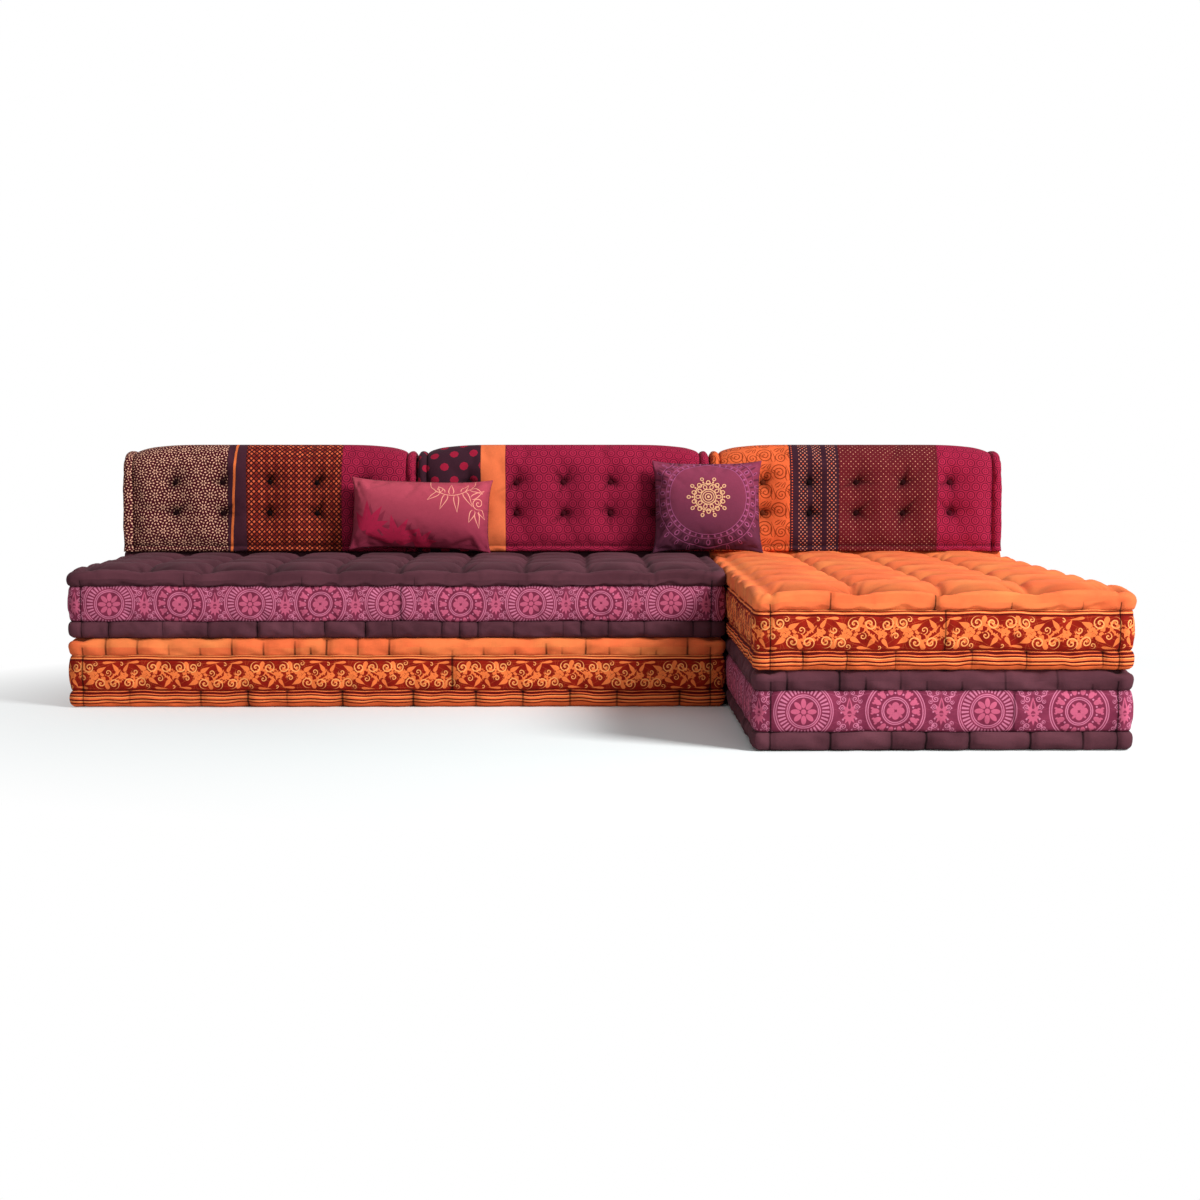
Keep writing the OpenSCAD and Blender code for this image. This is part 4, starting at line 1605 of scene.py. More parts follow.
@dataclass(frozen=True)
class Finish(ABC):
    """One finish of the object.

    Attributes:
        name: Name of the material.
        roughness: How matt it is.
        sheen: Soft light along the edges of a fibre cloth.
        grain: Width of a thread in metres.
        relief: How deep the threads are, as a share.
    """

    name: str
    roughness: float = 0.85
    sheen: float = 0.02
    grain: float = 1.3 * MM
    relief: float = 0.35

    @abstractmethod
    def print_on(self, graph: Graph, place: Place) -> Print:
        """Draws the cloth's colours.

        Args:
            graph: Graph of the material.
            place: Place on the flat cloth.

        Returns:
            The colour, and how high the print stands, if at all.
        """

    def make(self) -> bpy.types.Material:
        """Builds the material: print, weave, uneven dye, painted shade in the creases, seams and hollows, a
        painted highlight on the puffs' crests, and sheen.

        Returns:
            The material.
        """
        material = bpy.data.materials.new(self.name)
        graph = Graph.of(material)
        cloth = graph.node("ShaderNodeUVMap", {"uv_map": CLOTH_MAP}).outputs[0]
        place = graph.split(cloth)
        colour, raised = self.print_on(graph, place)
        blotches = graph.noise(cloth, 9.0, 3.0) * 0.16
        specks = graph.noise(cloth, 70.0, 2.0) * 0.10
        turn = 2 * math.pi / self.grain
        threads = (place.x * turn).sin() * (place.y * turn).sin()
        fine, coarse = 900.0, 60.0
        slubs = graph.noise(graph.spot(place.x * coarse, place.y * fine), 1.0, 1.0)
        slubs = slubs + graph.noise(graph.spot(place.x * fine, place.y * coarse), 1.0, 1.0)
        dye = (blotches + specks + 0.87) * (threads * 0.05 + 1.0) * (slubs * 0.16 + 0.84)
        pinch, fold = graph.attribute(PINCH_AND_SHADE_MAP), graph.attribute(FOLD_MAP)
        # Painted shade: sharp creases and every knot whose drawn-in mark is above 0 darken the colour; below
        # 0, on the puffs' crests, the mark lightens it as a painted highlight.
        crease = ((fold - 0.80) * 6.0).clamped() * (pinch * 1.6).clamped()
        colour = graph.shade(colour, dye * (1 - crease * 0.8) * (1 - pinch * 0.5).at_least(0.08))
        height = threads * self.relief * 0.35 + slubs * self.relief - crease * 4.0
        if raised is not None:
            height = height + raised
        graph.matt(colour, self.roughness, height, {"Strength": 0.55, "Distance": 0.5 * MM},
                   {"Sheen Weight": self.sheen, "Sheen Roughness": 0.5, "Specular IOR Level": 0.08})
        return material


@dataclass(frozen=True)
class PlainCloth(Finish):
    """Cotton dyed in one colour.

    Attributes:
        colour: Its colour.
        light: Colour where the dye wears thin at random, and of the painted highlight on the puffs' crests.
        fade: How much stronger the painted highlight on its puffs grows for each metre toward the rear.
    """

    colour: Colour = (0.5, 0.5, 0.5)
    light: Colour = (0.6, 0.6, 0.6)
    fade: float = 3.0

    def print_on(self, graph: Graph, place: Place) -> Print:
        """Wears the dye in clouds, and paints a highlight on the crests of the puffs that grows toward the
        rear.
        """
        clouds = graph.noise(graph.spot(place.x, place.y), 5.0, 4.0) * 0.9 - 0.38
        # Painted highlight on the puffs' crests, stronger toward the rear, added to the random wear of the
        # clouds.
        crest = (-graph.attribute(PINCH_AND_SHADE_MAP)).at_least(0.0)
        wear_and_highlight = clouds + crest * (place.y * self.fade + 1.9)
        return graph.mix(wear_and_highlight.clamped(), self.colour, self.light), None


@dataclass(frozen=True)
class MedallionBand(Finish):
    """Rose border printed with two kinds of round medallion in turn, and vases between them.

    Attributes:
        around: Length of the border round the mattress in metres.
        pitch: Wanted distance between medallions in metres.
        first: Distance of the first medallion from the front left corner.
        half_band: Half the height of the border.
        rim: Radius that each medallion keeps free of vases, in millimetres.
        curls: Spirals beside a vase: middle, radius, pitch, half line, hand and start.
        dots: Dots beside a vase: middle and radius.
    """

    around: float = 5.6
    pitch: float = 0.2
    first: float = 0.12
    half_band: float = 52 * MM
    rim: float = 75
    ground: Colour = srgb(152, 62, 90)
    deep: Colour = srgb(116, 40, 66)
    sunk: Colour = srgb(118, 40, 66)
    petal: Colour = srgb(196, 92, 122)
    line: Colour = srgb(204, 118, 148)
    curls: Rows = ((14, 31, 9, 5.2, 1.1, 1, 180), (17, 11, 7.5, 4.6, 1.0, -1, 160),
                   (15, -36, 9, 5.2, 1.1, -1, 180), (28, -44, 7, 4.6, 1.1, 1, 90),
                   (28, 45, 7, 4.6, 1.1, -1, 90), (8, 45, 6, 4.4, 1.1, 1, 0),
                   (26, 24, 5.5, 4.2, 1.0, 1, 270), (25, -27, 5.5, 4.2, 1.0, -1, 90))
    dots: Rows = ((16, -18, 2.4), (20, -1, 2.2), (25, 10, 1.8), (36, 49, 2.2), (36, -49, 2.2),
                  (6, -45, 2.2))

    def print_on(self, graph: Graph, place: Place) -> Print:
        """Prints the medallions, the vases and their curls on a clouded ground, and paints shade toward the
        seams above and below.
        """
        pitch = self.around / (2 * round(self.around / self.pitch / 2))
        u = place.x - self.first
        wheel = Place(u.folded(2 * pitch), place.y).polar()
        flower = Place((u - pitch).folded(2 * pitch), place.y).polar()
        half = Place(abs((u - pitch / 2).folded(pitch)), place.y)
        inside = union(wheel.r.within(self.rim), flower.r.within(self.rim))
        free = 1 - inside
        clouds = graph.noise(graph.spot(place.x, place.y), 28.0, 2.0)
        colour = graph.mix(((clouds - 0.3) * 1.4).clamped(), self.deep, self.ground)
        colour = graph.mix(inside * 0.75, colour, self.ground)
        sunk = union(wheel.r.within(34.5), wheel.ring(55, 11) * 0.8, flower.r.within(27.5),
                     flower.ring(51, 15))
        colour = graph.mix(sunk * 0.8, colour, self.sunk)
        rosette = union(wheel.petals(8, 9, 32, 6.3), wheel.r.within(6.5))
        lobes = union(flower.petals(4, 3, 22, 9), flower.petals(4, 12, 24, 3, 0.5))
        wreath = union(flower.petals(14, 40, 60, 6.4), flower.petals(28, 54, 62, 2.6, 0.5))
        solid = union(rosette, lobes, wreath, self.vase(half) * free)
        drawn = union(self.spokes(wheel) * wheel.r.within(self.rim),
                      self.rings(flower) * flower.r.within(self.rim), self.tendrils(half) * free)
        colour = graph.mix(solid, colour, self.petal)
        colour = graph.mix(drawn, colour, self.line)
        # Painted shade: the colour darkens towards the border's top and bottom seams.
        edge = ((self.half_band - abs(place.y)) / (7 * MM)).clamped()
        return graph.shade(colour, edge * 0.4 + 0.6), union(solid, drawn) * 0.8

    @staticmethod
    def spokes(wheel: Polar) -> Value:
        """Draws the rings and the short strokes of the first kind of medallion."""
        strokes, stroke_share = 38, 0.25
        spoke = ((stroke_share - (wheel.a * (strokes / (2 * math.pi))).near(1.0)) * 9 * MM).edge()
        return union(*[wheel.ring(radius, 1.1) for radius in (36.5, 41, 68, 73)], spoke * wheel.ring(55, 9))

    @staticmethod
    def rings(flower: Polar) -> Value:
        """Draws the rings and the small petals of the second kind of medallion."""
        sizes = ((29, 1.1), (33.5, 1.1), (68, 1.2), (73.5, 1.2))
        return union(*[flower.ring(*size) for size in sizes], flower.petals(14, 42, 47, 2.4, 0.5))

    @staticmethod
    def vase(half: Place) -> Value:
        """Draws one half of a vase of leaves, which the folded place mirrors."""
        leaves = ((4, 0, 56, 24, 4.2), (5, -3, 18, 18, 4.0), (3, -10, -25, 17, 4.4), (2, -12, -58, 19, 4.2),
                  (0, -12, -90, 22, 4.6))
        bowl = half.leaf(0, 2, 90, 34, 7.5) - half.leaf(0, 7, 90, 22, 3.4)
        foot = abs(half.y + 6 * MM).within(1.5) * half.x.within(14)
        return union(bowl, *[half.leaf(*leaf) for leaf in leaves], foot)

    def tendrils(self, half: Place) -> Value:
        """Draws the curls, thin leaves and dots round a vase."""
        thin = (half.leaf(20, 36, 15, 14, 2.2), half.leaf(19, -30, -70, 14, 2.2))
        curls = [half.scroll(*curl) for curl in self.curls]
        return union(*curls, *thin, *[half.disc(*dot) for dot in self.dots])


@dataclass(frozen=True)
class FloralBand(Finish):
    """Deep red border printed with an orange vine, its lines, and the stripes of the lower roll.

    Attributes:
        around: Length of the border round the mattress in metres.
        repeat: Wanted length of the repeat in metres.
        middle: Height of the vine's middle over the border's, in metres.
        spirals: Tendrils: middle, radius, pitch, half line, hand and start.
        leaves: Leaves: stalk, angle, length and half width.
        dark: Dark stripes: height over the border's middle and half width, in millimetres.
        bright: Orange stripes, likewise.
        light: Light lines, likewise.
    """

    around: float = 5.6
    repeat: float = 0.30
    middle: float = -6 * MM
    ground: Colour = srgb(170, 38, 16)
    deep: Colour = srgb(128, 20, 12)
    groove: Colour = srgb(92, 12, 10)
    motif: Colour = srgb(246, 126, 66)
    line: Colour = srgb(255, 168, 98)
    stripe: Colour = srgb(246, 114, 60)
    spirals: Rows = ((22, 23, 16, 10, 1.6, 1, 200), (59, 24, 15.5, 10, 1.6, -1, 20),
                     (92, -23, 16, 10, 1.6, 1, 20), (130, -24, 15.5, 10, 1.6, -1, 160),
                     (113, 8, 9.5, 8, 1.3, -1, 0), (42, -8, 9.5, 8, 1.3, 1, 90),
                     (76, 33, 7.5, 7, 1.2, 1, 30), (2, -32, 7.5, 7, 1.2, -1, 210))
    leaves: Rows = ((37, 39, -66, 33, 6.6), (113, -40, 114, 33, 6.6), (72, -14, 208, 29, 7.4),
                    (82, 10, 30, 30, 6.6), (10, -12, -58, 28, 5.4), (141, 12, 126, 28, 6.0),
                    (98, 36, 4, 38, 3.6), (54, -37, 176, 38, 3.6), (66, 2, 84, 17, 5.0),
                    (16, 2, 160, 17, 4.8), (100, -4, -70, 14, 4.0), (30, 4, 20, 15, 4.0))
    dark: Rows = ((45, 9.0), (-76, 26.5))
    bright: Rows = ((50.5, 2.4), (43, 2.6), (-53, 2.4), (-64, 1.4), (-73.5, 3.8), (-84.5, 2.8), (-96, 5.2))
    light: Rows = ((49.8, 0.8), (42.4, 0.8), (-52.6, 0.8), (-71, 1.0), (-83, 0.8))

    def print_on(self, graph: Graph, place: Place) -> Print:
        """Prints the vine, turned over in every other cell, and the stripes over and under it."""
        cell = self.around / round(self.around / self.repeat) / 2
        flip = (place.x / cell).floor() % 2.0
        height = place.y - self.middle
        at = Place(place.x % cell, height * (1 - flip * 2))
        wave = (at.x * (2 * math.pi / cell)).sin()
        stem = abs(at.y - wave * 17 * MM).within(2)
        clouds = graph.noise(graph.spot(at.x, at.y), 88.0, 2.0)
        vine = (18 * MM - abs(at.y - wave * 13 * MM)).edge(6 * MM) * ((clouds - 0.53) * 30 * MM).edge()
        flowers = union(at.moved(75, 0).polar().petals(5, 2.5, 12, 3.9), at.polar().petals(6, 2.5, 11, 3.2))
        inside = abs(height).within(41.5)
        solid = union(vine, *[at.leaf(*leaf) for leaf in self.leaves], flowers, stem) * inside
        tendrils = union(*[at.scroll(*spiral) for spiral in self.spirals]) * inside
        wash = graph.noise(graph.spot(place.x, place.y), 30.0, 2.0)
        colour = graph.mix(((wash - 0.3) * 1.5).clamped(), self.deep, self.ground)
        colour = graph.mix(solid, colour, self.motif)
        colour = graph.mix(tendrils, colour, self.line)
        for lines, ink in ((self.dark, self.groove), (self.bright, self.stripe), (self.light, self.line)):
            marks = [abs(place.y - middle * MM).within(half) for middle, half in lines]
            colour = graph.mix(union(*marks), colour, ink)
        return colour, union(solid, tendrils) * 0.8


class Weave(Enum):
    """Kinds of patch in the backs, by the name of the method that draws each."""

    PLAIN = "plain"
    DASHES = "dashes"
    LATTICE = "lattice"
    OGEE = "ogee"
    SQUARES = "squares"
    SWIRLS = "swirls"
    BEADS = "beads"
    SPOTS = "spots"


@dataclass(frozen=True)
class Patch:
    """One patch of a back cushion's cover.

    Attributes:
        end: Distance from the left end where the patch ends.
        weave: Kind of patch.
        ground: Its ground colour.
        mark: Colour of its marks.
        second: Colour of its other marks.
    """

    end: float
    weave: Weave
    ground: Colour
    mark: Colour = (0.0, 0.0, 0.0)
    second: Colour = (0.0, 0.0, 0.0)

    def draw(self, graph: Graph, place: Place, start: float) -> Any:
        """Draws the patch.

        Args:
            graph: Graph of the material.
            place: Place on the flat cloth.
            start: Distance from the left end where the patch starts.

        Returns:
            Its colour.
        """
        marks = getattr(self, self.weave.value)(Place(place.x - start, place.y))
        colour: Any = self.ground
        for mark, ink in zip(marks, (self.mark, self.second)):
            colour = graph.mix(mark, colour, ink)
        return colour

    def plain(self, at: Place) -> tuple[Value, ...]:
        """Leaves the patch plain."""
        return ()

    def dashes(self, at: Place) -> tuple[Value, ...]:
        """Draws short dashes laid as small flowers, with dots between them."""
        across, along = 44, 38
        flower = at.staggered(across, along).polar()
        others = [at.moved(0, side * along * 2 / 3).staggered(across, along) for side in (1, -1)]
        dots = [other.polar().r.within(1.8) for other in others]
        return (union(flower.petals(6, 3.6, 10.0, 1.7), flower.petals(11, 13.6, 20.2, 1.9), *dots),)

    def lattice(self, at: Place) -> tuple[Value, ...]:
        """Draws small slanting squares between dark lines, with bright dots in rows."""
        turned, pitch, big = at.turned(45), 11.4 * MM, 31 * MM
        off = turned.x.near(pitch).at_least(turned.y.near(pitch))
        rows = at.x.near(big) + at.y.near(big) - big / 2
        return off.within(3.9), off.within(3.0) * rows.edge(2 * MM)

    def ogee(self, at: Place) -> tuple[Value, ...]:
        """Draws rings in a net, with a smaller ring in each and dots between them."""
        across, along = 31, 27
        eye = at.staggered(across, along).polar()
        dots = [at.moved(0, side * 18).staggered(across, along).polar().r.within(2) * 0.7 for side in (-1, 1)]
        return union(eye.ring(12.4, 1.5), eye.ring(5.2, 1.2) * 0.8, *dots), eye.ring(9.0, 1.6) * 0.35

    def squares(self, at: Place) -> tuple[Value, ...]:
        """Draws rounded squares in staggered rows."""
        local = at.moved(30, 8).staggered(62, 46)
        x, y = abs(local.x), abs(local.y)
        return ((x.at_least(y) * 0.5 + (x + y) * 0.4).within(13),)

    def swirls(self, at: Place) -> tuple[Value, ...]:
        """Draws engraved spirals with pointed leaves between them."""
        across, along = 92, 60
        local = at.moved(40, 20).staggered(across, along)
        between = at.moved(86, 20).staggered(across, along)
        leaves = ((-18, -26, 98, 52, 8), (-14, 16, 34, 34, 6), (8, 12, 58, 26, 5), (22, 8, -40, 26, 5))
        line = 2.9
        return (union(local.scroll(0, 0, 28, 11, 1.6), between.scroll(6, -9, 19, 9, 1.5, -1, 140),
                      *[between.outlined(*leaf, leaf[-1] - line) for leaf in leaves]),)

    def beads(self, at: Place) -> tuple[Value, ...]:
        """Draws columns of woven beads in two colours, and a row of dots at the left seam."""
        first, pitch, step = 43 * MM, 46 * MM, 28.8 * MM
        column = at.x - first
        local = Place(column.folded(pitch), at.y.folded(step))
        inside = abs(column - pitch).within(72) * abs(local.x).within(14.5)
        bead = Place(local.x, at.y).staggered(13.4, 7.2).polar().r.within(2.3) * inside
        inner = (abs(local.x) + abs(local.y)).within(8)
        side = Place(at.x - 7 * MM, at.y.folded(9 * MM))
        return bead, union(bead * inner, side.polar().r.within(2))

    def spots(self, at: Place) -> tuple[Value, ...]:
        """Draws small spots laid as staggered diamonds."""
        turned, pitch, wide = at.turned(45), 11.3 * MM, 47.94 * MM
        dot = Place(turned.x.folded(pitch), turned.y.folded(pitch)).polar().r.within(1.65)
        ridge = 4 * MM - abs(at.x.near(wide) + at.y.near(wide) - wide / 3)
        return (dot * (ridge.edge(2 * MM) * 0.55 + 0.45),)


@dataclass(frozen=True)
class Patchwork(Finish):
    """Cover sewn from patches, each with its own weave.

    Attributes:
        patches: The patches from left to right.
        printed: Whether the patches show their marks.
        slant: Place, lean and half width of a slanting stripe, if there is one.
        stripe: Colour of the slanting stripe.
        depth: Share of the colour that is kept; below 1 it darkens the cloth as painted shade.
    """

    patches: tuple[Patch, ...] = ()
    printed: bool = True
    slant: tuple[float, float, float] | None = None
    stripe: Colour = srgb(236, 118, 62)
    depth: float = 1.0

    def print_on(self, graph: Graph, place: Place) -> Print:
        """Draws the patches from left to right, with a groove at each seam that is darkened as painted shade.
        """
        colour: Any = None
        start = 0.0
        for patch in self.patches:
            drawn = patch.draw(graph, place, start) if self.printed else patch.ground
            colour = drawn if colour is None else graph.mix((place.x - start).edge(), colour, drawn)
            start = patch.end
        if self.slant is not None:
            where, lean, half = self.slant
            colour = graph.mix((half - abs(place.x - where - place.y * lean)).edge(), colour, self.stripe)
        gap = reduce(Value.at_most, [abs(place.x - patch.end) for patch in self.patches[:-1]])
        # The groove at each seam is a bump, and the colour in it is darkened as painted shade.
        groove = (1.1 * MM - gap).edge(1.5 * MM)
        return graph.shade(colour, (1 - groove * 0.45) * self.depth), groove * -2.0


@dataclass(frozen=True)
class LumbarPrint(Finish):
    """Rose pillow with a spray of plain leaves low on the left and fine curls high on the right.

    Attributes:
        sprays: Stalk, half width, and angle and length of each leaf of a spray, in millimetres.
        fan: Stalk, angle and length of each outlined leaf.
    """

    # The top and foot colours darken the cloth towards its foot as painted shade.
    top: Colour = srgb(186, 74, 92)
    foot: Colour = srgb(136, 44, 68)
    leaf: Colour = srgb(176, 34, 70)
    shadow: Colour = srgb(112, 22, 48)
    line: Colour = srgb(246, 168, 144)
    high: float = 240 * MM
    sprays: tuple[Any, ...] = (
        (-172, -62, 17, ((20, 76), (58, 92), (92, 100), (128, 80), (-30, 62))),
        (-78, -100, 15, ((-8, 70), (24, 92), (60, 84), (100, 88), (140, 84), (176, 74))),
        (0, -118, 11, ((14, 60), (52, 66), (92, 60), (134, 54))))
    fan: Rows = ((60, 74, 222, 52), (85, 63, 250, 60), (115, 62, 276, 64), (140, 74, 300, 62),
                 (160, 92, 330, 50), (100, 65, 95, 46), (135, 73, 70, 44), (75, 70, 120, 40),
                 (175, 10, 250, 46), (185, 4, 280, 54), (196, 12, 310, 36), (165, 50, 35, 52))

    def print_on(self, graph: Graph, place: Place) -> Print:
        """Prints the spray over its shadow, and the fan of outlined leaves."""
        # Painted shade: the cloth darkens from the top towards the foot.
        colour = graph.mix((place.y / self.high + 0.5).clamped(), self.foot, self.top)
        shadow, spray = [], []
        for x, y, half, leaves in self.sprays:
            for angle, length in leaves:
                vein = place.leaf(x, y, angle, length * 0.8, 1.1)
                spray.append(place.leaf(x, y, angle, length, half) - vein * 0.6)
                shadow.append(place.leaf(x + 12, y - 14, angle, length, half))
        colour = graph.mix(union(*shadow) * 0.5, colour, self.shadow)
        colour = graph.mix(union(*spray), colour, self.leaf)
        lines = [place.moved(100, 135).polar().ring(74, 1.1), place.scroll(190, 34, 21, 12, 1.2),
                 place.scroll(60, 88, 16, 11, 1.1, -1),
                 *[place.outlined(*leaf, 9.5, 6.8) for leaf in self.fan]]
        return graph.mix(union(*lines) * 0.95, colour, self.line), None


@dataclass(frozen=True)
class RosettePrint(Finish):
    """Plum pillow with a cream rosette in rings, circles and an engraved outer ring.

    Attributes:
        rise: How far the rosette's middle lies over the pillow's, in millimetres.
    """

    # The top and foot colours darken the cloth towards its foot as painted shade.
    top: Colour = srgb(142, 58, 84)
    foot: Colour = srgb(84, 40, 60)
    cream: Colour = srgb(230, 180, 134)
    fringe: Colour = srgb(172, 88, 132)
    furrow: Colour = srgb(66, 24, 44)
    heart: Colour = srgb(112, 30, 50)
    high: float = 305 * MM
    rise: float = 20

    def print_on(self, graph: Graph, place: Place) -> Print:
        """Prints the furrows, the engraved ring and the rosette."""
        # Painted shade: the cloth darkens from the top towards the foot.
        colour = graph.mix((place.y / self.high + 0.5).clamped(), self.foot, self.top)
        at = place.moved(0, self.rise).polar()
        centre = union(at.r.within(4.5), at.ring(11, 1.7), at.ring(19, 1.5), at.ring(25.5, 1.6),
                       at.hollow(10, (26, 43, 7.0), (29, 40, 4.0)),
                       at.hollow(10, (40, 58, 7.6), (43, 55, 4.4), 0.5),
                       at.ring(46, 1.6), at.petals(10, 49, 56, 3.0),
                       at.hollow(10, (58, 72, 6.2), (61, 69, 3.2)))
        engraved = union(at.ring(128, 1.1), at.ring(142, 1.1), at.petals(40, 130, 140, 3.2),
                         at.hollow(26, (146, 166, 7.0), (149, 162, 4.0), 0.5), at.ring(170, 1.0),
                         at.hollow(26, (172, 192, 5.0), (175, 188, 2.6)))
        furrows = union(at.ring(131, 1.6), at.ring(167, 1.6), at.petals(52, 145, 166, 3.4),
                        at.petals(52, 171, 192, 3.6))
        colour = graph.mix(furrows * 0.65, colour, self.furrow)
        colour = graph.mix(engraved * 0.8, colour, self.fringe)
        colour = graph.mix(at.r.within(60) * 0.5, colour, self.heart)
        return graph.mix(centre, colour, self.cream), centre * 0.6


@dataclass(frozen=True)
class Stuffing:
    """Foam, fibre or twine inside the covers, on solids that have no map.

    Attributes:
        name: Name of the material.
        colour: Its colour.
        dark: Colour of its pores or gaps.
        scale: How fine the pores are.
        stretch: How much longer than wide they are along Z.
    """

    name: str
    colour: Colour
    dark: Colour
    scale: float
    stretch: float = 1.0

    def make(self) -> bpy.types.Material:
        """Builds the material.

        Returns:
            The material.
        """
        material = bpy.data.materials.new(self.name)
        graph = Graph.of(material)
        spot = graph.node("ShaderNodeTexCoord").outputs["Object"]
        stretched = graph.node("ShaderNodeVectorMath", {"operation": "MULTIPLY"},
                               {0: spot, 1: (1, 1, 1 / self.stretch)})
        pores = graph.noise(stretched.outputs[0], self.scale, 3.0)
        colour = graph.mix(((pores - 0.3) * 2.5).clamped(), self.dark, self.colour)
        graph.matt(colour, 0.9, pores, {"Strength": 0.5, "Distance": 1 * MM}, {"Specular IOR Level": 0.2})
        return material

    def dress(self, ending: str) -> None:
        """Gives the solids of the frame whose names have one ending this finish.

        Args:
            ending: The ending.
        """
        material = self.make()
        for node in list(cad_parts):
            if node.endswith(ending):
                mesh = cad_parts[node].data
                mesh.materials.clear()
                mesh.materials.append(material)


@dataclass(frozen=True)
class Lamp:
    """A square lamp that points at the sofa.

    Attributes:
        name: Its name.
        place: Where it hangs.
        side: Side of the square in metres.
        power: Power in watts.
        target: Where it points.
    """

    name: str
    place: tuple[float, float, float]
    side: float
    power: float
    target: tuple[float, float, float] = (0, 0, 0.35)

    def hang(self) -> None:
        """Hangs the lamp."""
        data = bpy.data.lights.new(self.name, "AREA")
        data.energy = self.power
        data.size = self.side
        item = add_object(self.name, data)
        item.location = self.place
        item.rotation_euler = (Vector(self.target) - item.location).to_track_quat("-Z", "Y").to_euler()


@dataclass(frozen=True)
class Stage:
    """Pale floor, sky, lamps and camera.

    Attributes:
        lens: Focal length in millimetres on a 36 mm sensor.
        eye: Place of the camera in metres.
        pitch: How far the camera looks down, in radians.
        yaw: How far it looks to the right, in radians.
        reach: Half the side of the floor in metres.
        middle: Where the middle of the shaded floor lies along X.
        spread: Half width and half depth of the shaded floor.
        shaded: Share of the spread that is all floor.
        fade: Share of the spread over which the floor turns white.
        pale: Colour of the floor.
        bounce: How much light it gives back.
        ambient: Strength of the sky.
        lamps: The lamps.
    """

    lens: float = 59.95
    eye: tuple[float, float, float] = (0.047, -5.78, 0.753)
    pitch: float = 0.077
    yaw: float = -0.011
    reach: float = 40.0
    middle: float = 0.35
    spread: tuple[float, float] = (1.85, 1.4)
    shaded: float = 0.68
    fade: float = 0.72
    pale: Colour = (0.93, 0.98, 0.98)
    bounce: float = 0.6
    ambient: float = 0.34
    lamps: tuple[Lamp, ...] = (Lamp("key", (7.0, -5.2, 6.2), 3.0, 1190),
                               Lamp("fill", (1.4, -6.6, 1.1), 2.4, 62))

    def build(self) -> None:
        """Builds the stage."""
        bpy.context.scene.view_settings.view_transform = "Standard"
        self.lay_floor()
        self.light()
        self.aim()

    def lay_floor(self) -> None:
        """Lays a pale floor that keeps the shadow and turns white away from the sofa."""
        mesh = bpy.data.meshes.new("floor")
        far = self.reach
        mesh.from_pydata([(-far, -far, 0), (far, -far, 0), (far, far, 0), (-far, far, 0)], [], [(0, 1, 2, 3)])
        floor = add_object("floor", mesh)
        material = bpy.data.materials.new("floor_paint")
        graph = Graph.of(material)
        at = graph.split(graph.node("ShaderNodeTexCoord").outputs["Object"])
        wide, deep = self.spread
        away = (((at.x - self.middle) / wide) ** 2.0 + (at.y / deep) ** 2.0).root()
        white = ((away - self.shaded) / self.fade).clamped()
        seen = graph.ray("Camera")
        paint = graph.node("ShaderNodeBsdfDiffuse", {}, {0: graph.mix(seen, (self.bounce,) * 3, self.pale)})
        glow = graph.node("ShaderNodeEmission", {}, {0: (1, 1, 1, 1), 1: 1.0})
        mixed = graph.node("ShaderNodeMixShader", {},
                           {0: white * seen, 1: paint.outputs[0], 2: glow.outputs[0]})
        graph.node("ShaderNodeOutputMaterial", {}, {0: mixed.outputs[0]})
        mesh.materials.append(material)

    def light(self) -> None:
        """Hangs an even sky, which looks white where it is seen, and soft lamps."""
        world = bpy.data.worlds.new("studio")
        graph = Graph.of(world)
        seen = union(*[graph.ray(kind) for kind in ("Camera", "Glossy", "Transmission")])
        strength = seen * (1.0 - self.ambient) + self.ambient
        sky = graph.node("ShaderNodeBackground", {}, {0: (1, 1, 1, 1), 1: strength})
        graph.node("ShaderNodeOutputWorld", {}, {0: sky.outputs[0]})
        bpy.context.scene.world = world
        for lamp in self.lamps:
            lamp.hang()

    def aim(self) -> None:
        """Sets the camera where the photograph was taken from."""
        data = bpy.data.cameras.new("camera")
        data.lens = self.lens
        data.sensor_width = 36
        camera = add_object("camera", data)
        camera.location = self.eye
        camera.rotation_euler = (math.pi / 2 - self.pitch, 0, self.yaw)
        bpy.context.scene.camera = camera


MAROON = srgb(74, 16, 28)
DARK_PLUM = srgb(70, 34, 46)
DEEP_PLUM = srgb(58, 28, 40)
CREAM = srgb(250, 194, 162)
LAST_PATCH = Patch(2.0, Weave.OGEE, srgb(166, 34, 66), srgb(90, 10, 36), srgb(180, 40, 76))
PATCHES = {
    "left": (Patch(0.341, Weave.DASHES, MAROON, CREAM),
             Patch(0.402, Weave.PLAIN, DARK_PLUM),
             Patch(0.7085, Weave.LATTICE, srgb(50, 12, 18), srgb(144, 44, 30), srgb(228, 106, 66)),
             LAST_PATCH),
    "middle": (Patch(0.208, Weave.SQUARES, DEEP_PLUM, srgb(156, 26, 54)),
               Patch(0.288, Weave.PLAIN, srgb(232, 116, 70)),
               LAST_PATCH),
    "right": (Patch(0.258, Weave.SWIRLS, srgb(226, 102, 56), srgb(140, 54, 22)),
              Patch(0.416, Weave.BEADS, DEEP_PLUM, srgb(216, 134, 106), srgb(228, 98, 62)),
              Patch(0.735, Weave.SPOTS, srgb(97, 24, 32), srgb(214, 154, 124)),
              LAST_PATCH),
}
LEFT_SLANT = (0.352, 0.047, 4 * MM)
MEDALLION_PITCH = {"long_seat": 0.2035, "chaise_base": 0.2307}


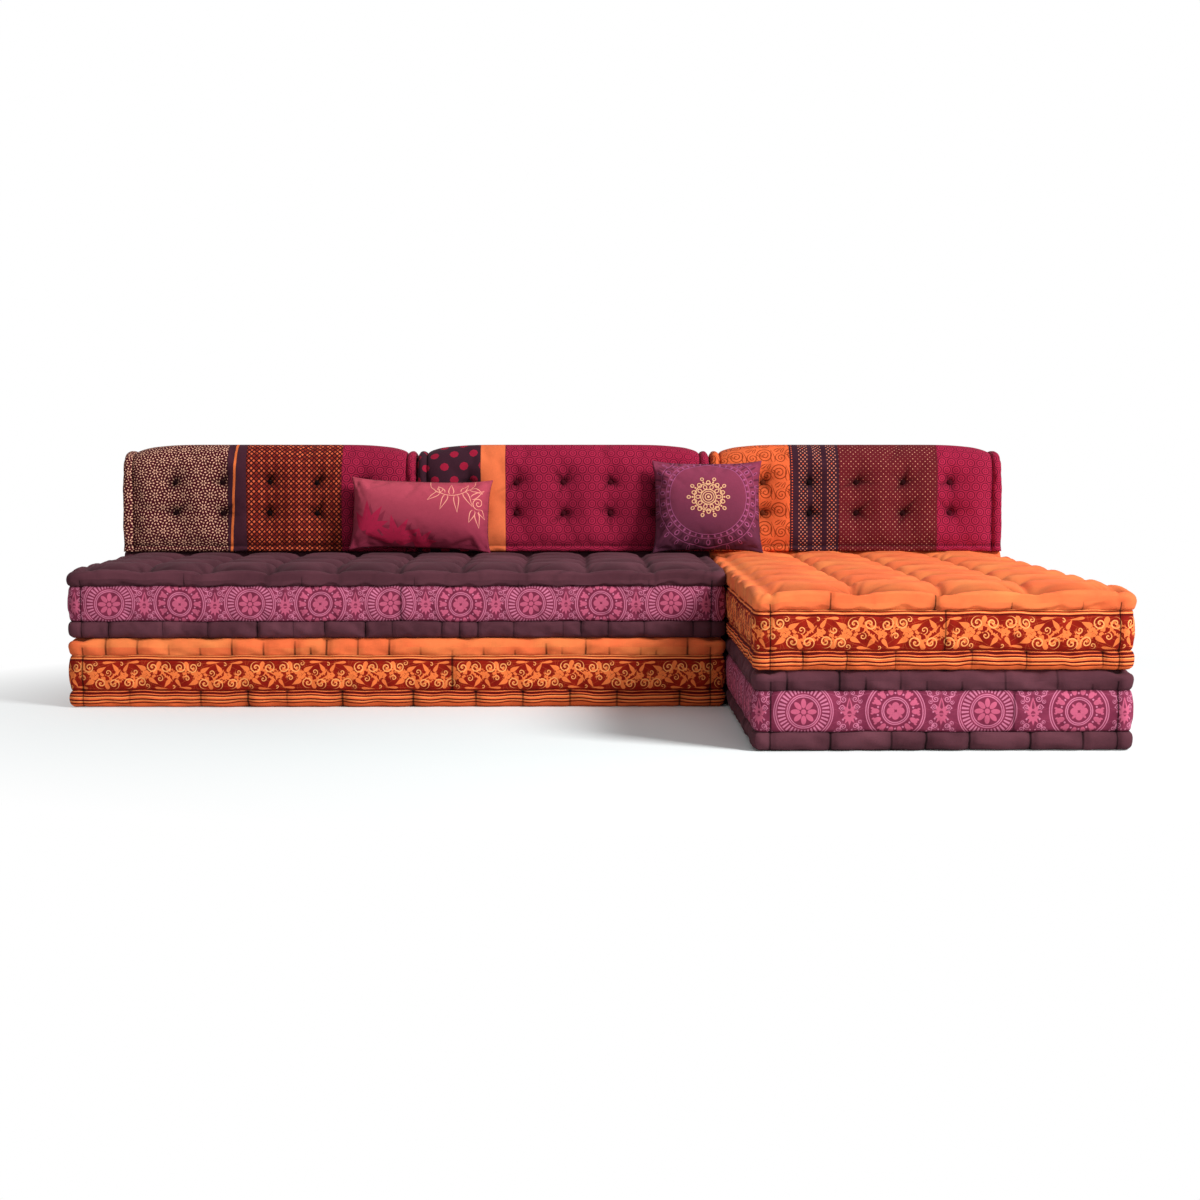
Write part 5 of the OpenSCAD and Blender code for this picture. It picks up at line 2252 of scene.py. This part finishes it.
def dress_mattresses(mattresses: Sequence[Mattress]) -> None:
    """Gives each mattress its plain cloth and its printed border.

    Args:
        mattresses: The filled mattresses.
    """
    # Each light colour serves both the random wear and the painted highlight on the puffs' crests.
    plum = PlainCloth("plum_cotton", colour=srgb(82, 45, 54), light=srgb(142, 84, 97)).make()
    orange = PlainCloth("orange_cotton", colour=srgb(242, 114, 66), light=srgb(255, 192, 104),
                        fade=1.5).make()
    for item in mattresses:
        if item.floral:
            border = FloralBand(f"{item.name}_vine_print", around=item.around).make()
            dress, slots = (orange, border, border), ("orange_cloth", "floral_print", "orange_cloth")
        else:
            border = MedallionBand(f"{item.name}_medallion_print", around=item.around,
                                   pitch=MEDALLION_PITCH[item.name]).make()
            dress, slots = (plum, border, plum), ("plum_cloth", "medallion_print", "plum_cloth")
        item.finish(dict(zip(Part, dress)), dict(zip(Part, slots)))


def dress_backs(backs: Sequence[BackCushion]) -> None:
    """Gives each back its patchwork, and its buttons the same cloth much darker, as painted shade for the
    hollows they sit in.

    Args:
        backs: The filled backs.
    """
    for item, (side, patches) in zip(backs, PATCHES.items()):
        slant = LEFT_SLANT if side == "left" else None
        cover = Patchwork(f"patchwork_{side}", patches=patches, slant=slant).make()
        # The buttons keep little of the cloth's colour: painted shade for the tufts' hollows.
        button = Patchwork(f"button_cloth_{side}", patches=patches, printed=False, depth=0.14).make()
        item.finish(cover, button, (f"patchwork_{side}", f"buttons_{side}"))


def dress_insides() -> None:
    """Gives the foam, the twine and the fibre inside the covers their finishes."""
    Stuffing("upholstery_foam", srgb(238, 226, 188), srgb(206, 188, 146), 260.0).dress("_core")
    Stuffing("waxed_twine", srgb(222, 206, 172), srgb(150, 132, 100), 900.0, 3.0).dress("_twine")
    Stuffing("pillow_fibre", srgb(240, 238, 232), srgb(206, 204, 198), 120.0).dress("_filling")


def main() -> None:
    """Builds every sub-assembly in order and reports each piece."""
    logging.basicConfig(level=logging.INFO, format="%(name)s: %(message)s")
    mattresses = [
        Mattress("long_base", 10, 5, False, 3, cells=8),
        Mattress("long_seat", 10, 5, True, 5),
        Mattress("chaise_base", 4, 8, False, 7, cells=10),
        Mattress("chaise_seat", 4, 8, True, 11, cells=16),
    ]
    backs = [BackCushion(f"back_{side}", seed) for seed, side in enumerate(PATCHES, start=20)]
    lumbar = Pillow("lumbar_pillow", 455 * MM, 240 * MM, 1.5, 31)
    square = Pillow("square_pillow", 355 * MM, 305 * MM, 0.0, 32)
    for item in [*mattresses, *backs, lumbar, square]:
        item.build()
    jobs = [(item.net, Filling(spare=0.03 if item.quilted else 0.02)) for item in mattresses]
    jobs += [(item.net, Filling(spare=0.02, reach=9 * MM)) for item in backs]
    jobs += [(item.net, Filling(spare=0.03, reach=30 * MM)) for item in (lumbar, square)]
    inflate(jobs)
    dress_mattresses(mattresses)
    dress_backs(backs)
    lumbar.finish(LumbarPrint("leaf_spray_print").make(), "lumbar_cloth")
    square.finish(RosettePrint("rosette_print").make(), "square_cloth")
    dress_insides()
    Stage().build()


if __name__ == "__main__":
    main()
